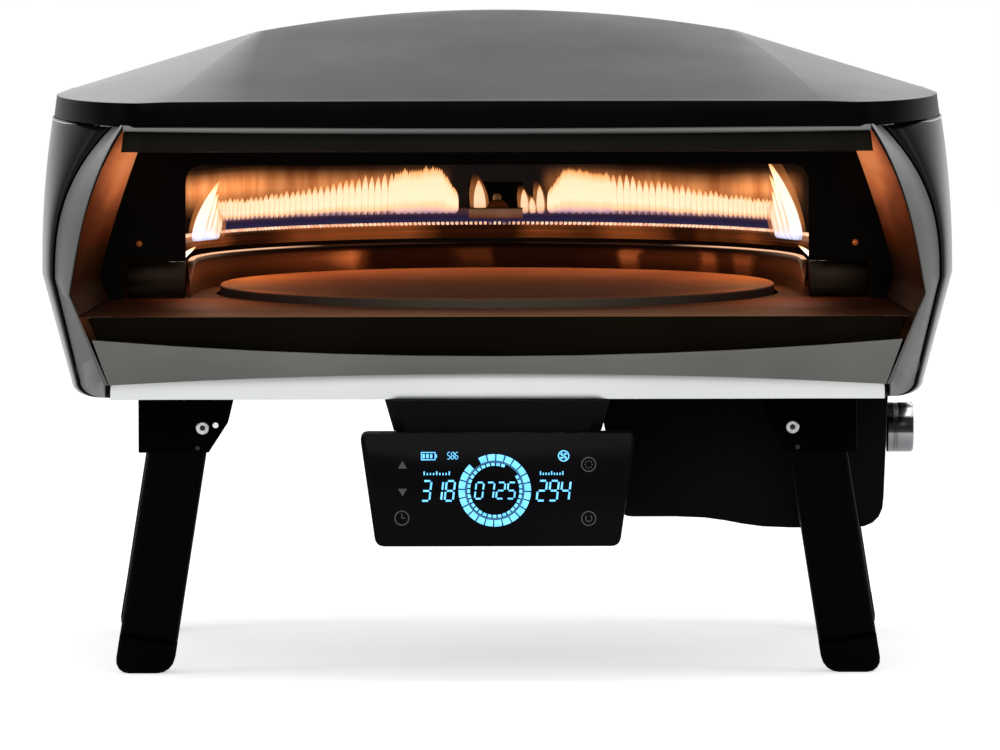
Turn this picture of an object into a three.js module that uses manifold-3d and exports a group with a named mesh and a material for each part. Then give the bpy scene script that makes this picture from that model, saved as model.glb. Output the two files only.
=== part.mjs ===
// A portable gas pizza oven: a faceted black cover over a wide mouth, a turning round stone with a
// horseshoe burner round its rear half, a hanging display, a control housing and four folding legs.
// Millimetres. +X is to the right seen from the front, +Y to the back, +Z up. The origin is on the
// ground under the middle of the body.

import * as THREE from "three";
import { mergeVertices } from "three/addons/utils/BufferGeometryUtils.js";
import Module from "manifold-3d";

const wasm = await Module();
wasm.setup();

// Driving dimensions
const stoneDiameter = 410;
const stoneThickness = 15;
const guardRoom = 17; // stone to flame guard
const burnerRoom = 18; // flame guard to the burner's centre line
const wallRoom = 43; // burner's centre line to the chamber wall
const sideRoom = 47.5; // chamber wall to the side shells at their widest
const blanketThickness = 9;
const rearRoom = 8; // wall blanket to the outside of the rear panel
const bodyHeight = 198.5; // underside of the base tray to the rim under the cover
const groundClearance = 204; // ground to the underside of the base tray
const deckRise = 60; // underside of the base tray to the top of the oven floor
const roofRoom = 30.5; // chamber roof to the rim
const archBand = 9; // top of the inner arch to the chamber roof
const coverRise = 71.2; // rim to the top of the crown

// Gaps and overruns
const seatGap = 0.3; // between pieces that rest on or butt against each other
const runningGap = 0.4; // around shafts and pins
const panelGap = 0.5; // between panels that are slid past each other when fitted
const overrun = 5; // how far a cutter reaches past what it cuts

// Sheet thicknesses
const shellSheet = 1.2;
const linerSheet = 1;
const floorSheet = 1.2;
const traySheet = 1.2;
const chinSheet = 3;
const bracketSheet = 2.5;
const mouldedWall = 2.5;

// Shared levels and edges
const guardRadius = stoneDiameter / 2 + guardRoom;
const burnerRadius = guardRadius + burnerRoom;
const chamberHalf = burnerRadius + wallRoom;
const halfWidth = chamberHalf + sideRoom;
const rearY = chamberHalf + blanketThickness + rearRoom;
const frontY = -rearY;
const trayZ = groundClearance;
const rimZ = trayZ + bodyHeight;
const deckZ = trayZ + deckRise;
const roofZ = rimZ - roofRoom;
const archZ = roofZ - archBand;

// Side shells: they lean in above the waist, tuck under below it and turn round four corners
const waistRise = 86.5; // underside of the tray to the widest level
const shellLean = 7.7;
const leanPower = 2.3;
const shellTuck = 21.2;
const footTurn = 10;
const footTurnRise = 8;
const frontCornerRun = 122;
const rearCornerRun = 150;
const rearCornerInset = 75;
const waistZ = trayZ + waistRise;
const shellTopZ = rimZ - seatGap;

// Mouth frame: a flank from the shells' front edge to the lip, and the lip's narrow front face
const flankDepth = 38;
const flankInset = 12.5; // waist of the shells to the outer edge of the flank
const flankCrown = 46.5; // how far that edge bends inwards at the rim
const flankPower = 2.5;
const flankTuck = 17.8;
const flankTurn = 18;
const flankTurnRise = 12;
const frameGroove = 1.5; // joint between the shells and the frame
const lipInset = 24.5; // waist of the shells to the widest point of the lip
const lipDrop = 10; // waist to that point
const lipCrown = 40;
const lipBend = 0.5; // share of the lip's lean that follows a cube
const lipTuck = 24;
const lipFootRise = 11.5; // underside of the tray to the lowest point of the lip
const lipFace = 3;
const topBarHeight = 3.5;
const topBarDepth = 12;
const lipCornerZ = waistZ - lipDrop;
const lipCornerHalf = halfWidth - lipInset;
const lipTopHalf = lipCornerHalf - lipCrown;

// Row positions on the curved panels, as shares
const turnShares = [0, 0.34, 0.68, 1]; // round the lower turn
const upperShares = [0.25, 0.5, 0.72, 0.88, 1]; // waist to rim
const lipTurnShares = [0, 0.06, 0.12, 0.18]; // the lip beside the lower turn
const deckFoldShare = 0.75; // height of the lip at which the liner meets the oven floor

// Chin, apron and tray
const chinTopRise = 44; // underside of the tray to the chin's upper corners
const chinSag = 12;
const chinArch = 8;
const apronSetback = 12;
const apronDrop = 34;
const apronTaper = 8;
const trayHeight = 22;
const trayFrontSetback = 18.5;
const trayLipGap = 4; // tray's front corners to the lip's lowest points
const trayInset = 2.5;
const trayFrontHalf = lipCornerHalf - lipTuck - trayLipGap;

// Mouth liner
const linerBackY = -81;
const linerBackRoom = 8; // chamber wall to the liner's rear edge
const linerBackLean = 28;
const linerBackPower = 1.2;
const linerFootInset = 6;
const headerSetback = 15;
const headerDrop = 20;
const headerTopDrop = 4;
const headerSideGap = 6;
const headerWidening = 3; // visor's lower corners beyond its upper ones
const linerBackHalf = chamberHalf + linerBackRoom;
const linerBackTopZ = roofZ + panelGap;

// Baking chamber
const archSideRoom = 23; // stone to the side of the arch's opening
const archCorner = 14;
const archLegWidth = 16;
const archLegRise = 28.5;
const roofBlanket = 24;
const roofOverhang = 8;
const roofBlanketInset = 3;
const chamberFrontY = linerBackY + linerSheet + seatGap * 2;
const archOpeningHalf = stoneDiameter / 2 + archSideRoom;

// Oven floor
const floorSetback = 14;
const floorMargin = 10; // oven floor beyond the chamber wall
const floorSkirtInset = 25;
const floorSkirtSetback = 30;
const floorFrontHalf = chamberHalf + floorMargin;
const floorSkirtHalf = floorFrontHalf - floorSkirtInset;
const floorSkirtFrontY = frontY + floorSkirtSetback;

// Turntable
const stoneY = 20;
const stoneRise = 7; // stone above the oven floor
const stoneEdge = 1.5;
const stoneMargin = 3; // stone to the round opening in the floor
const carrierDiameter = 240;
const carrierThickness = 3.5;
const carrierHubRadius = 14;
const carrierHubHeight = 8;
const shaftRadius = 5;
const shaftSink = 22; // shaft below the top of the motor's boss
const motorSide = 70;
const motorHeight = 28;
const motorBossRadius = 12;
const motorBossHeight = 6;
const bushWall = 2;
const bushFlange = 1.5;
const bushLength = 14;
const carrierRimBand = 14; // carrier's edge to its round openings
const carrierHubBand = 24; // hub to the same openings
const carrierOpenings = 3;

// Burner
const burnerTube = 6;
const burnerAxisRise = 33;
const burnerLegY = -38;
const burnerBoxWidth = 42;
const burnerBoxFrontY = -52;
const burnerBoxDepth = 46;
const guardHeight = 20;
const guardFlare = 5.5;
const guardLip = 2;
const guardFrontY = -46;
const guardFootFlare = 3.5;
const guardEndShares = [0, 0.12, 0.3, 0.55, 0.8, 1]; // along each straight end, from its foot
const guardHeightShares = [0.2, 0.45, 0.72, 0.9, 0.98, 1];
const guardFlareShares = [0, 0, 0, 1, 1, 1]; // of the lip's flare, at the same places

// Igniter
const igniterLeft = -21.5;
const igniterRight = 19.3;
const igniterReach = 14; // bracket's front edge before the burner's centre line
const igniterShelfRise = 50.6;
const igniterLipHeight = 7.6;
const igniterFlangeHeight = 18;
const igniterSheet = 1.5;
const electrodeRadius = 3.2;
const electrodeHeight = 20;
const electrodeTipGap = 2;

// Flame probe beside the right end of the burner
const probeRadius = 1.6;
const probeHeight = 26;
const probeReach = 12;
const probeInset = 9;

// Display
const displayTopHalf = 99;
const displayBottomHalf = 87.5;
const displayHeight = 81.6;
const displayDrop = 23; // tray to the top of the display
const displayCorner = 6.5;
const displayDepth = 22;
const displayWall = 2;
const glassThickness = 3;
const boardInset = 9;
const boardThickness = 1.6;
const boardSetback = 6;
const postRadius = 3;
const armTopHalf = 81;
const armBottomHalf = 74.5;
const armDepth = 26;
const armSetback = 12;
const armChamfer = 8;
const armWall = 3;

// Control housing
const housingWidth = 213; // along its upper edge
const housingLeftLean = 17;
const housingInset = 45.5; // side shell's widest point to the housing's right edge
const housingRightLean = 3.5;
const housingLegRoom = 60; // housing's front and rear to the middle of the legs beside it
const housingDrop = 104.2;
const housingStep = 8.3;
const housingStepRun = 58; // left upper corner to where the underside starts to drop
const housingStepLength = 84;
const housingCornerLeft = 9;
const housingCornerRight = 22;
const batteryRibHeight = 12;
const batteryRibInset = 14;
const housingRight = halfWidth - housingInset;
const housingLeftTop = housingRight - housingWidth;
const housingLeftBottom = housingLeftTop + housingLeftLean;
const housingStepStart = housingLeftTop + housingStepRun;
const housingStepEnd = housingStepStart + housingStepLength;

// Valve, knob and gas line
const knobDiameter = 37;
const knobLength = 20;
const knobGap = 0.5; // between the housing and the knob when it is pushed in
const knobChamfer = 1.2;
const knobNotchWidth = 4;
const knobNotchDepth = 1.5;
const knobDrop = 39.5;
const spindleRadius = 4;
const spindleInKnob = 13;
const valveLength = 52;
const valveFrontY = -50;
const valveRearY = 20;
const valveHeight = 38;
const noseRadius = 11;
const noseLength = 24;
const sliderWall = 2.8;
const sliderLength = 12;
const knobTravel = 2.5;
const pipeOffset = 10; // burner's centre line to the gas pipe
const pipeY = -32;
const pipeRadius = 4;
const inletOffset = 18; // gas pipe to gas inlet
const inletRadius = 5;
const inletDrop = 52;
const inletHexWidth = 17;
const inletHexLength = 6;
const inletThreadRadius = 6.5;
const inletThreadLength = 16;
const pipeX = burnerRadius + pipeOffset;
const inletX = pipeX - inletOffset;

// Battery compartment
const batteryInset = 36; // housing's left upper corner to the battery pack
const batteryWidth = 82;
const batteryDepth = 62;
const batteryHeight = 56;
const doorMargin = 3;
const barrelRadius = 2.5;
const barrelLength = 40;
const lugLength = 6;
const batteryLeft = housingLeftTop + batteryInset;
const batteryRight = batteryLeft + batteryWidth;

// Legs
const legSetback = 110; // rear panel to the rear legs' middle, and front lip to the front legs'
const rearLegSpread = 7; // the rear legs stand this much wider
const pivotInset = 117.1; // side shell's widest point to the pivots
const pivotDrop = 25;
const legWidth = 42;
const legDepth = 30;
const legOffset = 15.6; // pivot to the leg's centre line
const legSplayDegrees = 8.9;
const legHeadRadius = 13;
const legHeelHeight = 14;
const legHeelStep = 4;
const footHeight = 25;
const footOverlap = 0.8;
const footCorner = 4;
const spigotLength = 12;
const spigotInset = 6;
const bracketOuterReach = 46.4; // pivot to the bracket's outer face
const bracketInnerReach = 23.4;
const bracketHeight = 43;
const bracketShoulder = 21;
const bracketShoulderInset = 5;
const bracketFootInset = 19;
const sleeveReach = 18.6; // pivot to the sleeve's inner edge
const sleeveSheet = 1.5;
const boltRadius = 4;
const boltHeadRadius = 5;
const boltHeadHeight = 3;
const socketRadius = 2.2;
const socketDepth = 1.8;
const lockHoleRadius = 2.5;
const lockHoleInset = 9.4;
const lockHoleRise = 2;
const legY = rearY - legSetback;
const pivotHalf = halfWidth - pivotInset;
const bracketOuterHalf = pivotHalf + bracketOuterReach;
const bracketInnerHalf = pivotHalf - bracketInnerReach;
const sleeveHalf = pivotHalf + sleeveReach;

// Cover
const skirtHeight = 15.5;
const skirtFlare = 2;
const coverInset = 10.5; // side shell's widest point to the top of the skirt
const coverOverhang = 2; // cover beyond the front lip and the rear panel
const coverCornerWidth = 72;
const coverFrontCorner = 165; // how far back the rounding of the front corners reaches
const coverRearCorner = 100;
const coverFall = 13; // fold above the skirt, from the end of that rounding down to the rear
const creaseInset = 147; // top of the skirt to the crease between crown and side facet
const creaseSpread = 62; // how much wider the crease stands at the front and rear edges
const creaseRise = 40.5;
const crownPower = 1.3;
const edgeCrownShare = 0.02;
const coverHalf = halfWidth - coverInset;
const coverDepth = rearY + coverOverhang;
const coverFallStart = coverFrontCorner - coverDepth;
const creaseHalf = coverHalf - creaseInset;
const crownShares = [1, 0.72, 0.45, 0.2, 0]; // crease to centre
const coverMiddleShares = [0.66, 0.33, 0];
const cornerAngleShares = [0, 0.2, 0.45, 0.7, 1];

// Rear panel vents
const ventCount = 9;
const ventPitch = 34;
const ventWidth = 20;
const ventHeight = 5;
const ventRise = 34;

// Facet counts
const arcSegments = 20;
const stoneSegments = 56;
const roundSegments = 20;
const pinSegments = 12;
const tubeSides = 8;
const hexSides = 6;
const tubeSteps = 40;
const planSteps = 5;

// Materials
function material(color, roughness, metalness) {
  return new THREE.MeshStandardMaterial({ color, roughness, metalness });
}
const glossBlack = () => material(0x0b0b0c, 0.22, 0.1);
const satinGrey = () => material(0x5c5d5b, 0.45, 0.4);
const flankGrey = () => material(0x8c8d8b, 0.4, 0.4);
const heatDark = () => material(0x17130e, 0.6, 0.4);
const warmSteel = () => material(0x8a6a4c, 0.35, 0.9);
const brightSteel = () => material(0xdcdedf, 0.25, 1);
const darkSteel = () => material(0x3a3836, 0.4, 0.9);
const blackPlastic = () => material(0x0d0d0e, 0.5, 0);
const rubber = () => material(0x0a0a0a, 0.85, 0);
const brass = () => material(0xb08d4a, 0.3, 1);
const stone = () => material(0xb98a63, 0.95, 0);
const wool = () => material(0xd8d4c8, 1, 0);
const whiteCeramic = () => material(0xe9e4da, 0.5, 0);
const blackGlass = () => material(0x050607, 0.08, 0);

// Closed bodies, cuts and joins
function solidOf(geometry) {
  const plain = geometry.clone();
  plain.deleteAttribute("normal");
  plain.deleteAttribute("uv");
  const merged = mergeVertices(plain);
  const vertProperties = merged.attributes.position.array;
  const triVerts = new Uint32Array(merged.index.array);
  return new wasm.Manifold(new wasm.Mesh({ numProp: 3, vertProperties, triVerts }));
}

function geometryOf(solid) {
  const mesh = solid.getMesh();
  const indexed = new THREE.BufferGeometry();
  indexed.setAttribute("position", new THREE.BufferAttribute(mesh.vertProperties, mesh.numProp));
  indexed.setIndex(new THREE.BufferAttribute(mesh.triVerts, 1));
  const geometry = indexed.toNonIndexed();
  geometry.computeVertexNormals();
  return geometry;
}

function joined(...pieces) {
  return geometryOf(pieces.map(solidOf).reduce((whole, piece) => whole.add(piece)));
}

function cut(blank, ...cutters) {
  return geometryOf(cutters.map(solidOf).reduce((whole, tool) => whole.subtract(tool), solidOf(blank)));
}

// A body from shared points and triangles, turned inside out where its volume comes out negative.
function closedBody(points, triangles) {
  const volume = triangles.reduce(
    (sum, [a, b, c]) => sum + points[a].dot(new THREE.Vector3().crossVectors(points[b], points[c])),
    0,
  );
  const facing = volume < 0 ? triangles.map(([a, b, c]) => [a, c, b]) : triangles;
  const indexed = new THREE.BufferGeometry().setFromPoints(points);
  indexed.setIndex(facing.flat());
  const geometry = indexed.toNonIndexed();
  geometry.computeVertexNormals();
  return geometry;
}

// The two triangles of each cell of a grid whose points are numbered row by row.
function gridTriangles(rowCount, columnCount, numberOf) {
  const triangles = [];
  for (let row = 0; row + 1 < rowCount; row += 1) {
    for (let column = 0; column + 1 < columnCount; column += 1) {
      const corner = numberOf(row, column);
      const beside = numberOf(row, column + 1);
      const above = numberOf(row + 1, column);
      const across = numberOf(row + 1, column + 1);
      triangles.push([corner, beside, across], [corner, across, above]);
    }
  }
  return triangles;
}

// The direction square to a grid of points, at one of them.
function gridNormal(rows, row, column) {
  const along = new THREE.Vector3().subVectors(
    rows[Math.min(row + 1, rows.length - 1)][column],
    rows[Math.max(row - 1, 0)][column],
  );
  const across = new THREE.Vector3().subVectors(
    rows[row][Math.min(column + 1, rows[row].length - 1)],
    rows[row][Math.max(column - 1, 0)],
  );
  return along.cross(across).normalize();
}

// A bent sheet: its face is a grid of points, and its thickness goes to the side of the given point.
function sheet(rows, thickness, inside) {
  const rowCount = rows.length;
  const columnCount = rows[0].length;
  const middle = rows[Math.floor(rowCount / 2)][Math.floor(columnCount / 2)];
  const middleNormal = gridNormal(rows, Math.floor(rowCount / 2), Math.floor(columnCount / 2));
  const side = Math.sign(middleNormal.dot(new THREE.Vector3().subVectors(inside, middle)));
  const face = rows.flat();
  const back = rows.flatMap((points, row) =>
    points.map((point, column) => gridNormal(rows, row, column).multiplyScalar(side * thickness).add(point)),
  );
  const faceNumber = (row, column) => row * columnCount + column;
  const backNumber = (row, column) => face.length + faceNumber(row, column);
  const triangles = gridTriangles(rowCount, columnCount, faceNumber);
  const backTriangles = gridTriangles(rowCount, columnCount, backNumber).map(([a, b, c]) => [a, c, b]);
  const edge = borderOf(rowCount, columnCount);
  edge.forEach(([row, column], place) => {
    const [nextRow, nextColumn] = edge[(place + 1) % edge.length];
    const near = faceNumber(row, column);
    const next = faceNumber(nextRow, nextColumn);
    const nearBack = backNumber(row, column);
    const nextBack = backNumber(nextRow, nextColumn);
    triangles.push([near, nextBack, next], [near, nearBack, nextBack]);
  });
  return closedBody([...face, ...back], [...triangles, ...backTriangles]);
}

// The places round the border of a grid, in order.
function borderOf(rowCount, columnCount) {
  const places = [];
  for (let column = 0; column + 1 < columnCount; column += 1) places.push([0, column]);
  for (let row = 0; row + 1 < rowCount; row += 1) places.push([row, columnCount - 1]);
  for (let column = columnCount - 1; column > 0; column -= 1) places.push([rowCount - 1, column]);
  for (let row = rowCount - 1; row > 0; row -= 1) places.push([row, 0]);
  return places;
}

// A body through a row of outlines with equal numbers of points, each closed off from its middle.
function loft(sections) {
  const count = sections[0].length;
  const points = sections.flat();
  const numberOf = (row, column) => row * count + (column % count);
  const triangles = gridTriangles(sections.length, count + 1, numberOf);
  [0, sections.length - 1].forEach((row) => {
    const middle = new THREE.Vector3();
    sections[row].forEach((point) => middle.add(point));
    points.push(middle.divideScalar(count));
    for (let column = 0; column < count; column += 1) {
      const near = numberOf(row, column);
      const next = numberOf(row, column + 1);
      triangles.push(row === 0 ? [points.length - 1, next, near] : [points.length - 1, near, next]);
    }
  });
  return closedBody(points, triangles);
}

// Simple forms
function at(x, y, z) {
  return new THREE.Vector3(x, y, z);
}

function outline(pairs) {
  return new THREE.Shape(pairs.map(([across, up]) => new THREE.Vector2(across, up)));
}

function block(left, right, near, far, bottom, top) {
  const geometry = new THREE.BoxGeometry(right - left, far - near, top - bottom);
  return geometry.translate((left + right) / 2, (near + far) / 2, (bottom + top) / 2);
}

function lying(shape, bottom, thickness, curveSegments = arcSegments) {
  const geometry = new THREE.ExtrudeGeometry(shape, { depth: thickness, bevelEnabled: false, curveSegments });
  return geometry.translate(0, 0, bottom);
}

function upright(shape, near, thickness, curveSegments = arcSegments) {
  const geometry = new THREE.ExtrudeGeometry(shape, { depth: thickness, bevelEnabled: false, curveSegments });
  return geometry.rotateX(Math.PI / 2).translate(0, near + thickness, 0);
}

function post(radius, x, y, bottom, top, segments = roundSegments) {
  const geometry = new THREE.CylinderGeometry(radius, radius, top - bottom, segments);
  return geometry.rotateX(Math.PI / 2).translate(x, y, (bottom + top) / 2);
}

function crossPin(radius, x, z, near, far, segments = pinSegments) {
  const geometry = new THREE.CylinderGeometry(radius, radius, far - near, segments);
  return geometry.translate(x, (near + far) / 2, z);
}

function sidePin(radius, y, z, left, right, segments = roundSegments) {
  const geometry = new THREE.CylinderGeometry(radius, radius, right - left, segments);
  return geometry.rotateZ(-Math.PI / 2).translate((left + right) / 2, y, z);
}

function mirrored(geometry) {
  const copy = geometry.index ? geometry.toNonIndexed() : geometry.clone();
  const position = copy.attributes.position;
  for (let corner = 0; corner < position.count; corner += 3) {
    const second = new THREE.Vector3().fromBufferAttribute(position, corner + 1);
    const third = new THREE.Vector3().fromBufferAttribute(position, corner + 2);
    position.setXYZ(corner + 1, third.x, third.y, third.z);
    position.setXYZ(corner + 2, second.x, second.y, second.z);
  }
  copy.scale(-1, 1, 1);
  copy.computeVertexNormals();
  return copy;
}

// Levels of the side shells and the mouth frame, from the foot to the rim
function panelRows() {
  const tuckZ = trayZ + seatGap + footTurnRise;
  const flankTuckZ = trayZ + seatGap + flankTurnRise;
  const flankHalf = halfWidth - flankInset;
  const lower = turnShares.map((share, row) => {
    const angle = (share * Math.PI) / 2;
    return {
      sideHalf: halfWidth - shellTuck - footTurn * (1 - Math.sin(angle)),
      sideZ: tuckZ - footTurnRise * Math.cos(angle),
      flankHalf: flankHalf - flankTuck - flankTurn * (1 - Math.sin(angle)),
      flankZ: flankTuckZ - flankTurnRise * Math.cos(angle),
      lipHalf: lipCornerHalf - lipTuck * (1 - lipTurnShares[row]),
      lipZ: trayZ + lipFootRise + (lipCornerZ - trayZ - lipFootRise) * lipTurnShares[row],
    };
  });
  const waist = {
    sideHalf: halfWidth,
    sideZ: waistZ,
    flankHalf,
    flankZ: waistZ,
    lipHalf: lipCornerHalf,
    lipZ: lipCornerZ,
  };
  const upper = upperShares.map((share) => {
    const lean = lipBend * share + (1 - lipBend) * share ** 3;
    return {
      sideHalf: halfWidth - shellLean * share ** leanPower,
      sideZ: waistZ + (shellTopZ - waistZ) * share,
      flankHalf: flankHalf - flankCrown * share ** flankPower,
      flankZ: waistZ + (shellTopZ - waistZ) * share,
      lipHalf: lipCornerHalf - lipCrown * lean,
      lipZ: lipCornerZ + (shellTopZ - lipCornerZ) * share,
    };
  });
  return [...lower, waist, ...upper];
}

// One level of the right side shell in plan: front corner, straight side and rear corner.
function shellRow({ sideHalf, sideZ, flankHalf, flankZ }) {
  const frontEdgeY = frontY + flankDepth + frameGroove;
  const frontHalf = flankHalf + frameGroove;
  const rearHalf = sideHalf - rearCornerInset;
  const points = [];
  for (let step = 0; step <= planSteps; step += 1) {
    const angle = (step / planSteps) * (Math.PI / 2);
    const x = frontHalf + (sideHalf - frontHalf) * Math.sin(angle);
    const y = frontEdgeY + frontCornerRun * (1 - Math.cos(angle));
    points.push(at(x, y, flankZ + (sideZ - flankZ) * Math.sin(angle)));
  }
  for (let step = 0; step <= planSteps; step += 1) {
    const angle = (step / planSteps) * (Math.PI / 2);
    const x = rearHalf + (sideHalf - rearHalf) * Math.cos(angle);
    points.push(at(x, rearY - rearCornerRun * (1 - Math.sin(angle)), sideZ));
  }
  return points;
}

const bodyMiddle = at(0, 0, waistZ);

function sideShell() {
  return sheet(panelRows().map(shellRow), shellSheet, bodyMiddle);
}

function mouthFrame() {
  const rows = panelRows().map(({ flankHalf, flankZ, lipHalf, lipZ }) => [
    at(flankHalf, frontY + flankDepth, flankZ),
    at(lipHalf, frontY, lipZ),
    at(lipHalf - lipFace, frontY, lipZ),
  ]);
  return sheet(rows, shellSheet, bodyMiddle);
}

function topBar() {
  const half = lipTopHalf - lipFace - panelGap;
  return block(-half, half, frontY, frontY + topBarDepth, rimZ - seatGap - topBarHeight, rimZ - seatGap);
}

// The lower front panel: its upper edge sags and its lower edge arches.
function chinPanel() {
  const lipSlope = lipTuck / (lipCornerZ - trayZ - lipFootRise);
  const footZ = trayZ + lipFootRise;
  const topZ = trayZ + chinTopRise;
  const footHalf = lipCornerHalf - lipTuck - lipFace - panelGap;
  const topHalf = footHalf + lipSlope * (topZ - footZ);
  const shape = new THREE.Shape();
  shape.moveTo(-footHalf, footZ);
  shape.quadraticCurveTo(0, footZ + chinArch * 2, footHalf, footZ);
  shape.lineTo(topHalf, topZ);
  shape.quadraticCurveTo(0, topZ - chinSag * 2, -topHalf, topZ);
  return upright(shape, frontY, chinSheet, planSteps * 2);
}

// The dark strip under the oven floor, narrower at its foot as the frame is
function floorApron() {
  const topHalf = floorFrontHalf - floorSheet;
  const lowHalf = topHalf - apronTaper;
  const shape = outline([
    [-lowHalf, deckZ - apronDrop],
    [lowHalf, deckZ - apronDrop],
    [topHalf, deckZ - seatGap],
    [-topHalf, deckZ - seatGap],
  ]);
  return upright(shape, frontY + apronSetback, floorSheet);
}

// The base tray: a flat bottom with an upturned edge, which shows as the bright strip in front.
function trayOutline(inset) {
  const plan = shellRow(panelRows()[0]);
  const side = plan.map(({ x, y }) => [x - trayInset - inset, Math.min(y, rearY - trayInset - inset)]);
  const front = [trayFrontHalf - inset, frontY + trayFrontSetback + inset];
  const shoulder = [trayFrontHalf - inset, frontY + flankDepth + frameGroove];
  const right = [front, shoulder, ...side.slice(1)];
  const left = right.map(([x, y]) => [-x, y]).reverse();
  return outline([...right, ...left]);
}

function baseTray() {
  const blank = lying(trayOutline(0), trayZ, trayHeight);
  const pocket = lying(trayOutline(traySheet), trayZ + traySheet, trayHeight + overrun);
  const pipeHole = post(pipeRadius + stoneMargin, pipeX, pipeY, trayZ - overrun, deckZ);
  return cut(blank, pocket, pipeHole);
}

// Mouth liner: a cheek at each side and a header above, all narrowing towards the inner arch
function linerRow(share) {
  const lean = lipBend * share + (1 - lipBend) * share ** 3;
  const frontTop = rimZ - headerTopDrop - topBarHeight;
  const frontHalf = lipCornerHalf - lipCrown * lean - lipFace - panelGap;
  const backHalf = linerBackHalf - linerBackLean * share ** linerBackPower;
  return [
    at(frontHalf, frontY + shellSheet, lipCornerZ + (frontTop - lipCornerZ) * share),
    at(backHalf, linerBackY, lipCornerZ + (linerBackTopZ - lipCornerZ) * share),
  ];
}

function mouthCheek() {
  const floorZ = deckZ + seatGap + linerSheet;
  const frontHalf = lipCornerHalf - lipTuck * (1 - deckFoldShare) - lipFace - panelGap;
  const backHalf = linerBackHalf - linerFootInset;
  const foot = [at(frontHalf, frontY + shellSheet, floorZ), at(backHalf, linerBackY, floorZ)];
  const rows = [foot, linerRow(0), ...upperShares.map(linerRow)];
  return sheet(rows, -linerSheet, at(0, linerBackY, lipCornerZ));
}

function mouthHeader() {
  const topZ = rimZ - headerTopDrop;
  const lowZ = topZ - headerDrop + headerTopDrop;
  const nearY = frontY + headerSetback;
  const topHalf = lipTopHalf - headerSideGap;
  const lowHalf = topHalf + headerWidening;
  const backHalf = linerBackHalf - linerBackLean - headerSideGap;
  const rows = [
    [at(-topHalf, nearY, topZ), at(topHalf, nearY, topZ)],
    [at(-lowHalf, nearY, lowZ), at(lowHalf, nearY, lowZ)],
    [at(-backHalf, linerBackY, linerBackTopZ), at(backHalf, linerBackY, linerBackTopZ)],
  ];
  return sheet(rows, linerSheet, at(0, 0, rimZ));
}

// Chamber outlines: straight sides that run into a half circle at the back
function chamberOutline(half, nearY) {
  const shape = new THREE.Shape();
  shape.moveTo(-half, nearY);
  shape.lineTo(half, nearY);
  shape.lineTo(half, 0);
  shape.absarc(0, 0, half, 0, Math.PI);
  return shape;
}

function chamberBand(outerHalf, thickness, nearY) {
  const inner = outerHalf - thickness;
  const shape = new THREE.Shape();
  shape.moveTo(inner, nearY);
  shape.lineTo(outerHalf, nearY);
  shape.lineTo(outerHalf, 0);
  shape.absarc(0, 0, outerHalf, 0, Math.PI);
  shape.lineTo(-outerHalf, nearY);
  shape.lineTo(-inner, nearY);
  shape.lineTo(-inner, 0);
  shape.absarc(0, 0, inner, Math.PI, 0, true);
  return shape;
}

function chamberWall() {
  const shape = chamberBand(chamberHalf, linerSheet, chamberFrontY);
  return lying(shape, deckZ + seatGap, roofZ - deckZ - seatGap * 2);
}

function wallBlanket() {
  const outer = chamberHalf + seatGap + blanketThickness;
  const shape = chamberBand(outer, blanketThickness, chamberFrontY);
  return lying(shape, deckZ + seatGap, roofZ - deckZ - seatGap * 2);
}

function chamberRoof() {
  const shape = chamberOutline(chamberHalf + roofOverhang, chamberFrontY);
  return lying(shape, roofZ, linerSheet);
}

function roofInsulation() {
  const shape = chamberOutline(chamberHalf - roofBlanketInset, chamberFrontY);
  return lying(shape, roofZ + linerSheet + seatGap, roofBlanket);
}

// The inner arch: a flat plate with a wide opening, cut back at its feet for the burner's ends.
function chamberArch() {
  const outer = linerBackHalf - linerSheet;
  const footInner = outer - archLegWidth;
  const footZ = deckZ + seatGap;
  const legZ = deckZ + archLegRise;
  const topZ = roofZ;
  const shape = new THREE.Shape();
  shape.moveTo(footInner, footZ);
  shape.lineTo(outer, footZ);
  shape.lineTo(outer, topZ);
  shape.lineTo(-outer, topZ);
  shape.lineTo(-outer, footZ);
  shape.lineTo(-footInner, footZ);
  shape.lineTo(-footInner, legZ);
  shape.lineTo(-archOpeningHalf, legZ);
  shape.lineTo(-archOpeningHalf, archZ - archCorner);
  shape.quadraticCurveTo(-archOpeningHalf, archZ, archCorner - archOpeningHalf, archZ);
  shape.lineTo(archOpeningHalf - archCorner, archZ);
  shape.quadraticCurveTo(archOpeningHalf, archZ, archOpeningHalf, archZ - archCorner);
  shape.lineTo(archOpeningHalf, legZ);
  shape.lineTo(footInner, legZ);
  return upright(shape, linerBackY + seatGap, linerSheet, planSteps);
}

// Oven floor: a plate with a round opening for the stone, on a skirt that stands on the tray
function ovenFloor() {
  const plate = new THREE.Shape();
  plate.moveTo(-floorFrontHalf, frontY + floorSetback);
  plate.lineTo(floorFrontHalf, frontY + floorSetback);
  plate.lineTo(floorFrontHalf, 0);
  plate.absarc(0, 0, floorFrontHalf, 0, Math.PI);
  const opening = post(stoneDiameter / 2 + stoneMargin, 0, stoneY, trayZ, rimZ, stoneSegments);
  const skirtZ = trayZ + traySheet + seatGap;
  const bandHeight = deckZ - floorSheet / 2 - skirtZ;
  const outer = lying(chamberOutline(floorSkirtHalf, floorSkirtFrontY), skirtZ, bandHeight);
  const inner = lying(
    chamberOutline(floorSkirtHalf - floorSheet, floorSkirtFrontY + floorSheet),
    skirtZ - overrun,
    deckZ - skirtZ + overrun,
  );
  const pipeHole = post(pipeRadius + runningGap, pipeX, pipeY, trayZ, rimZ, pinSegments);
  const top = lying(plate, deckZ - floorSheet, floorSheet);
  return cut(joined(top, cut(outer, inner)), opening, pipeHole);
}

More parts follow.
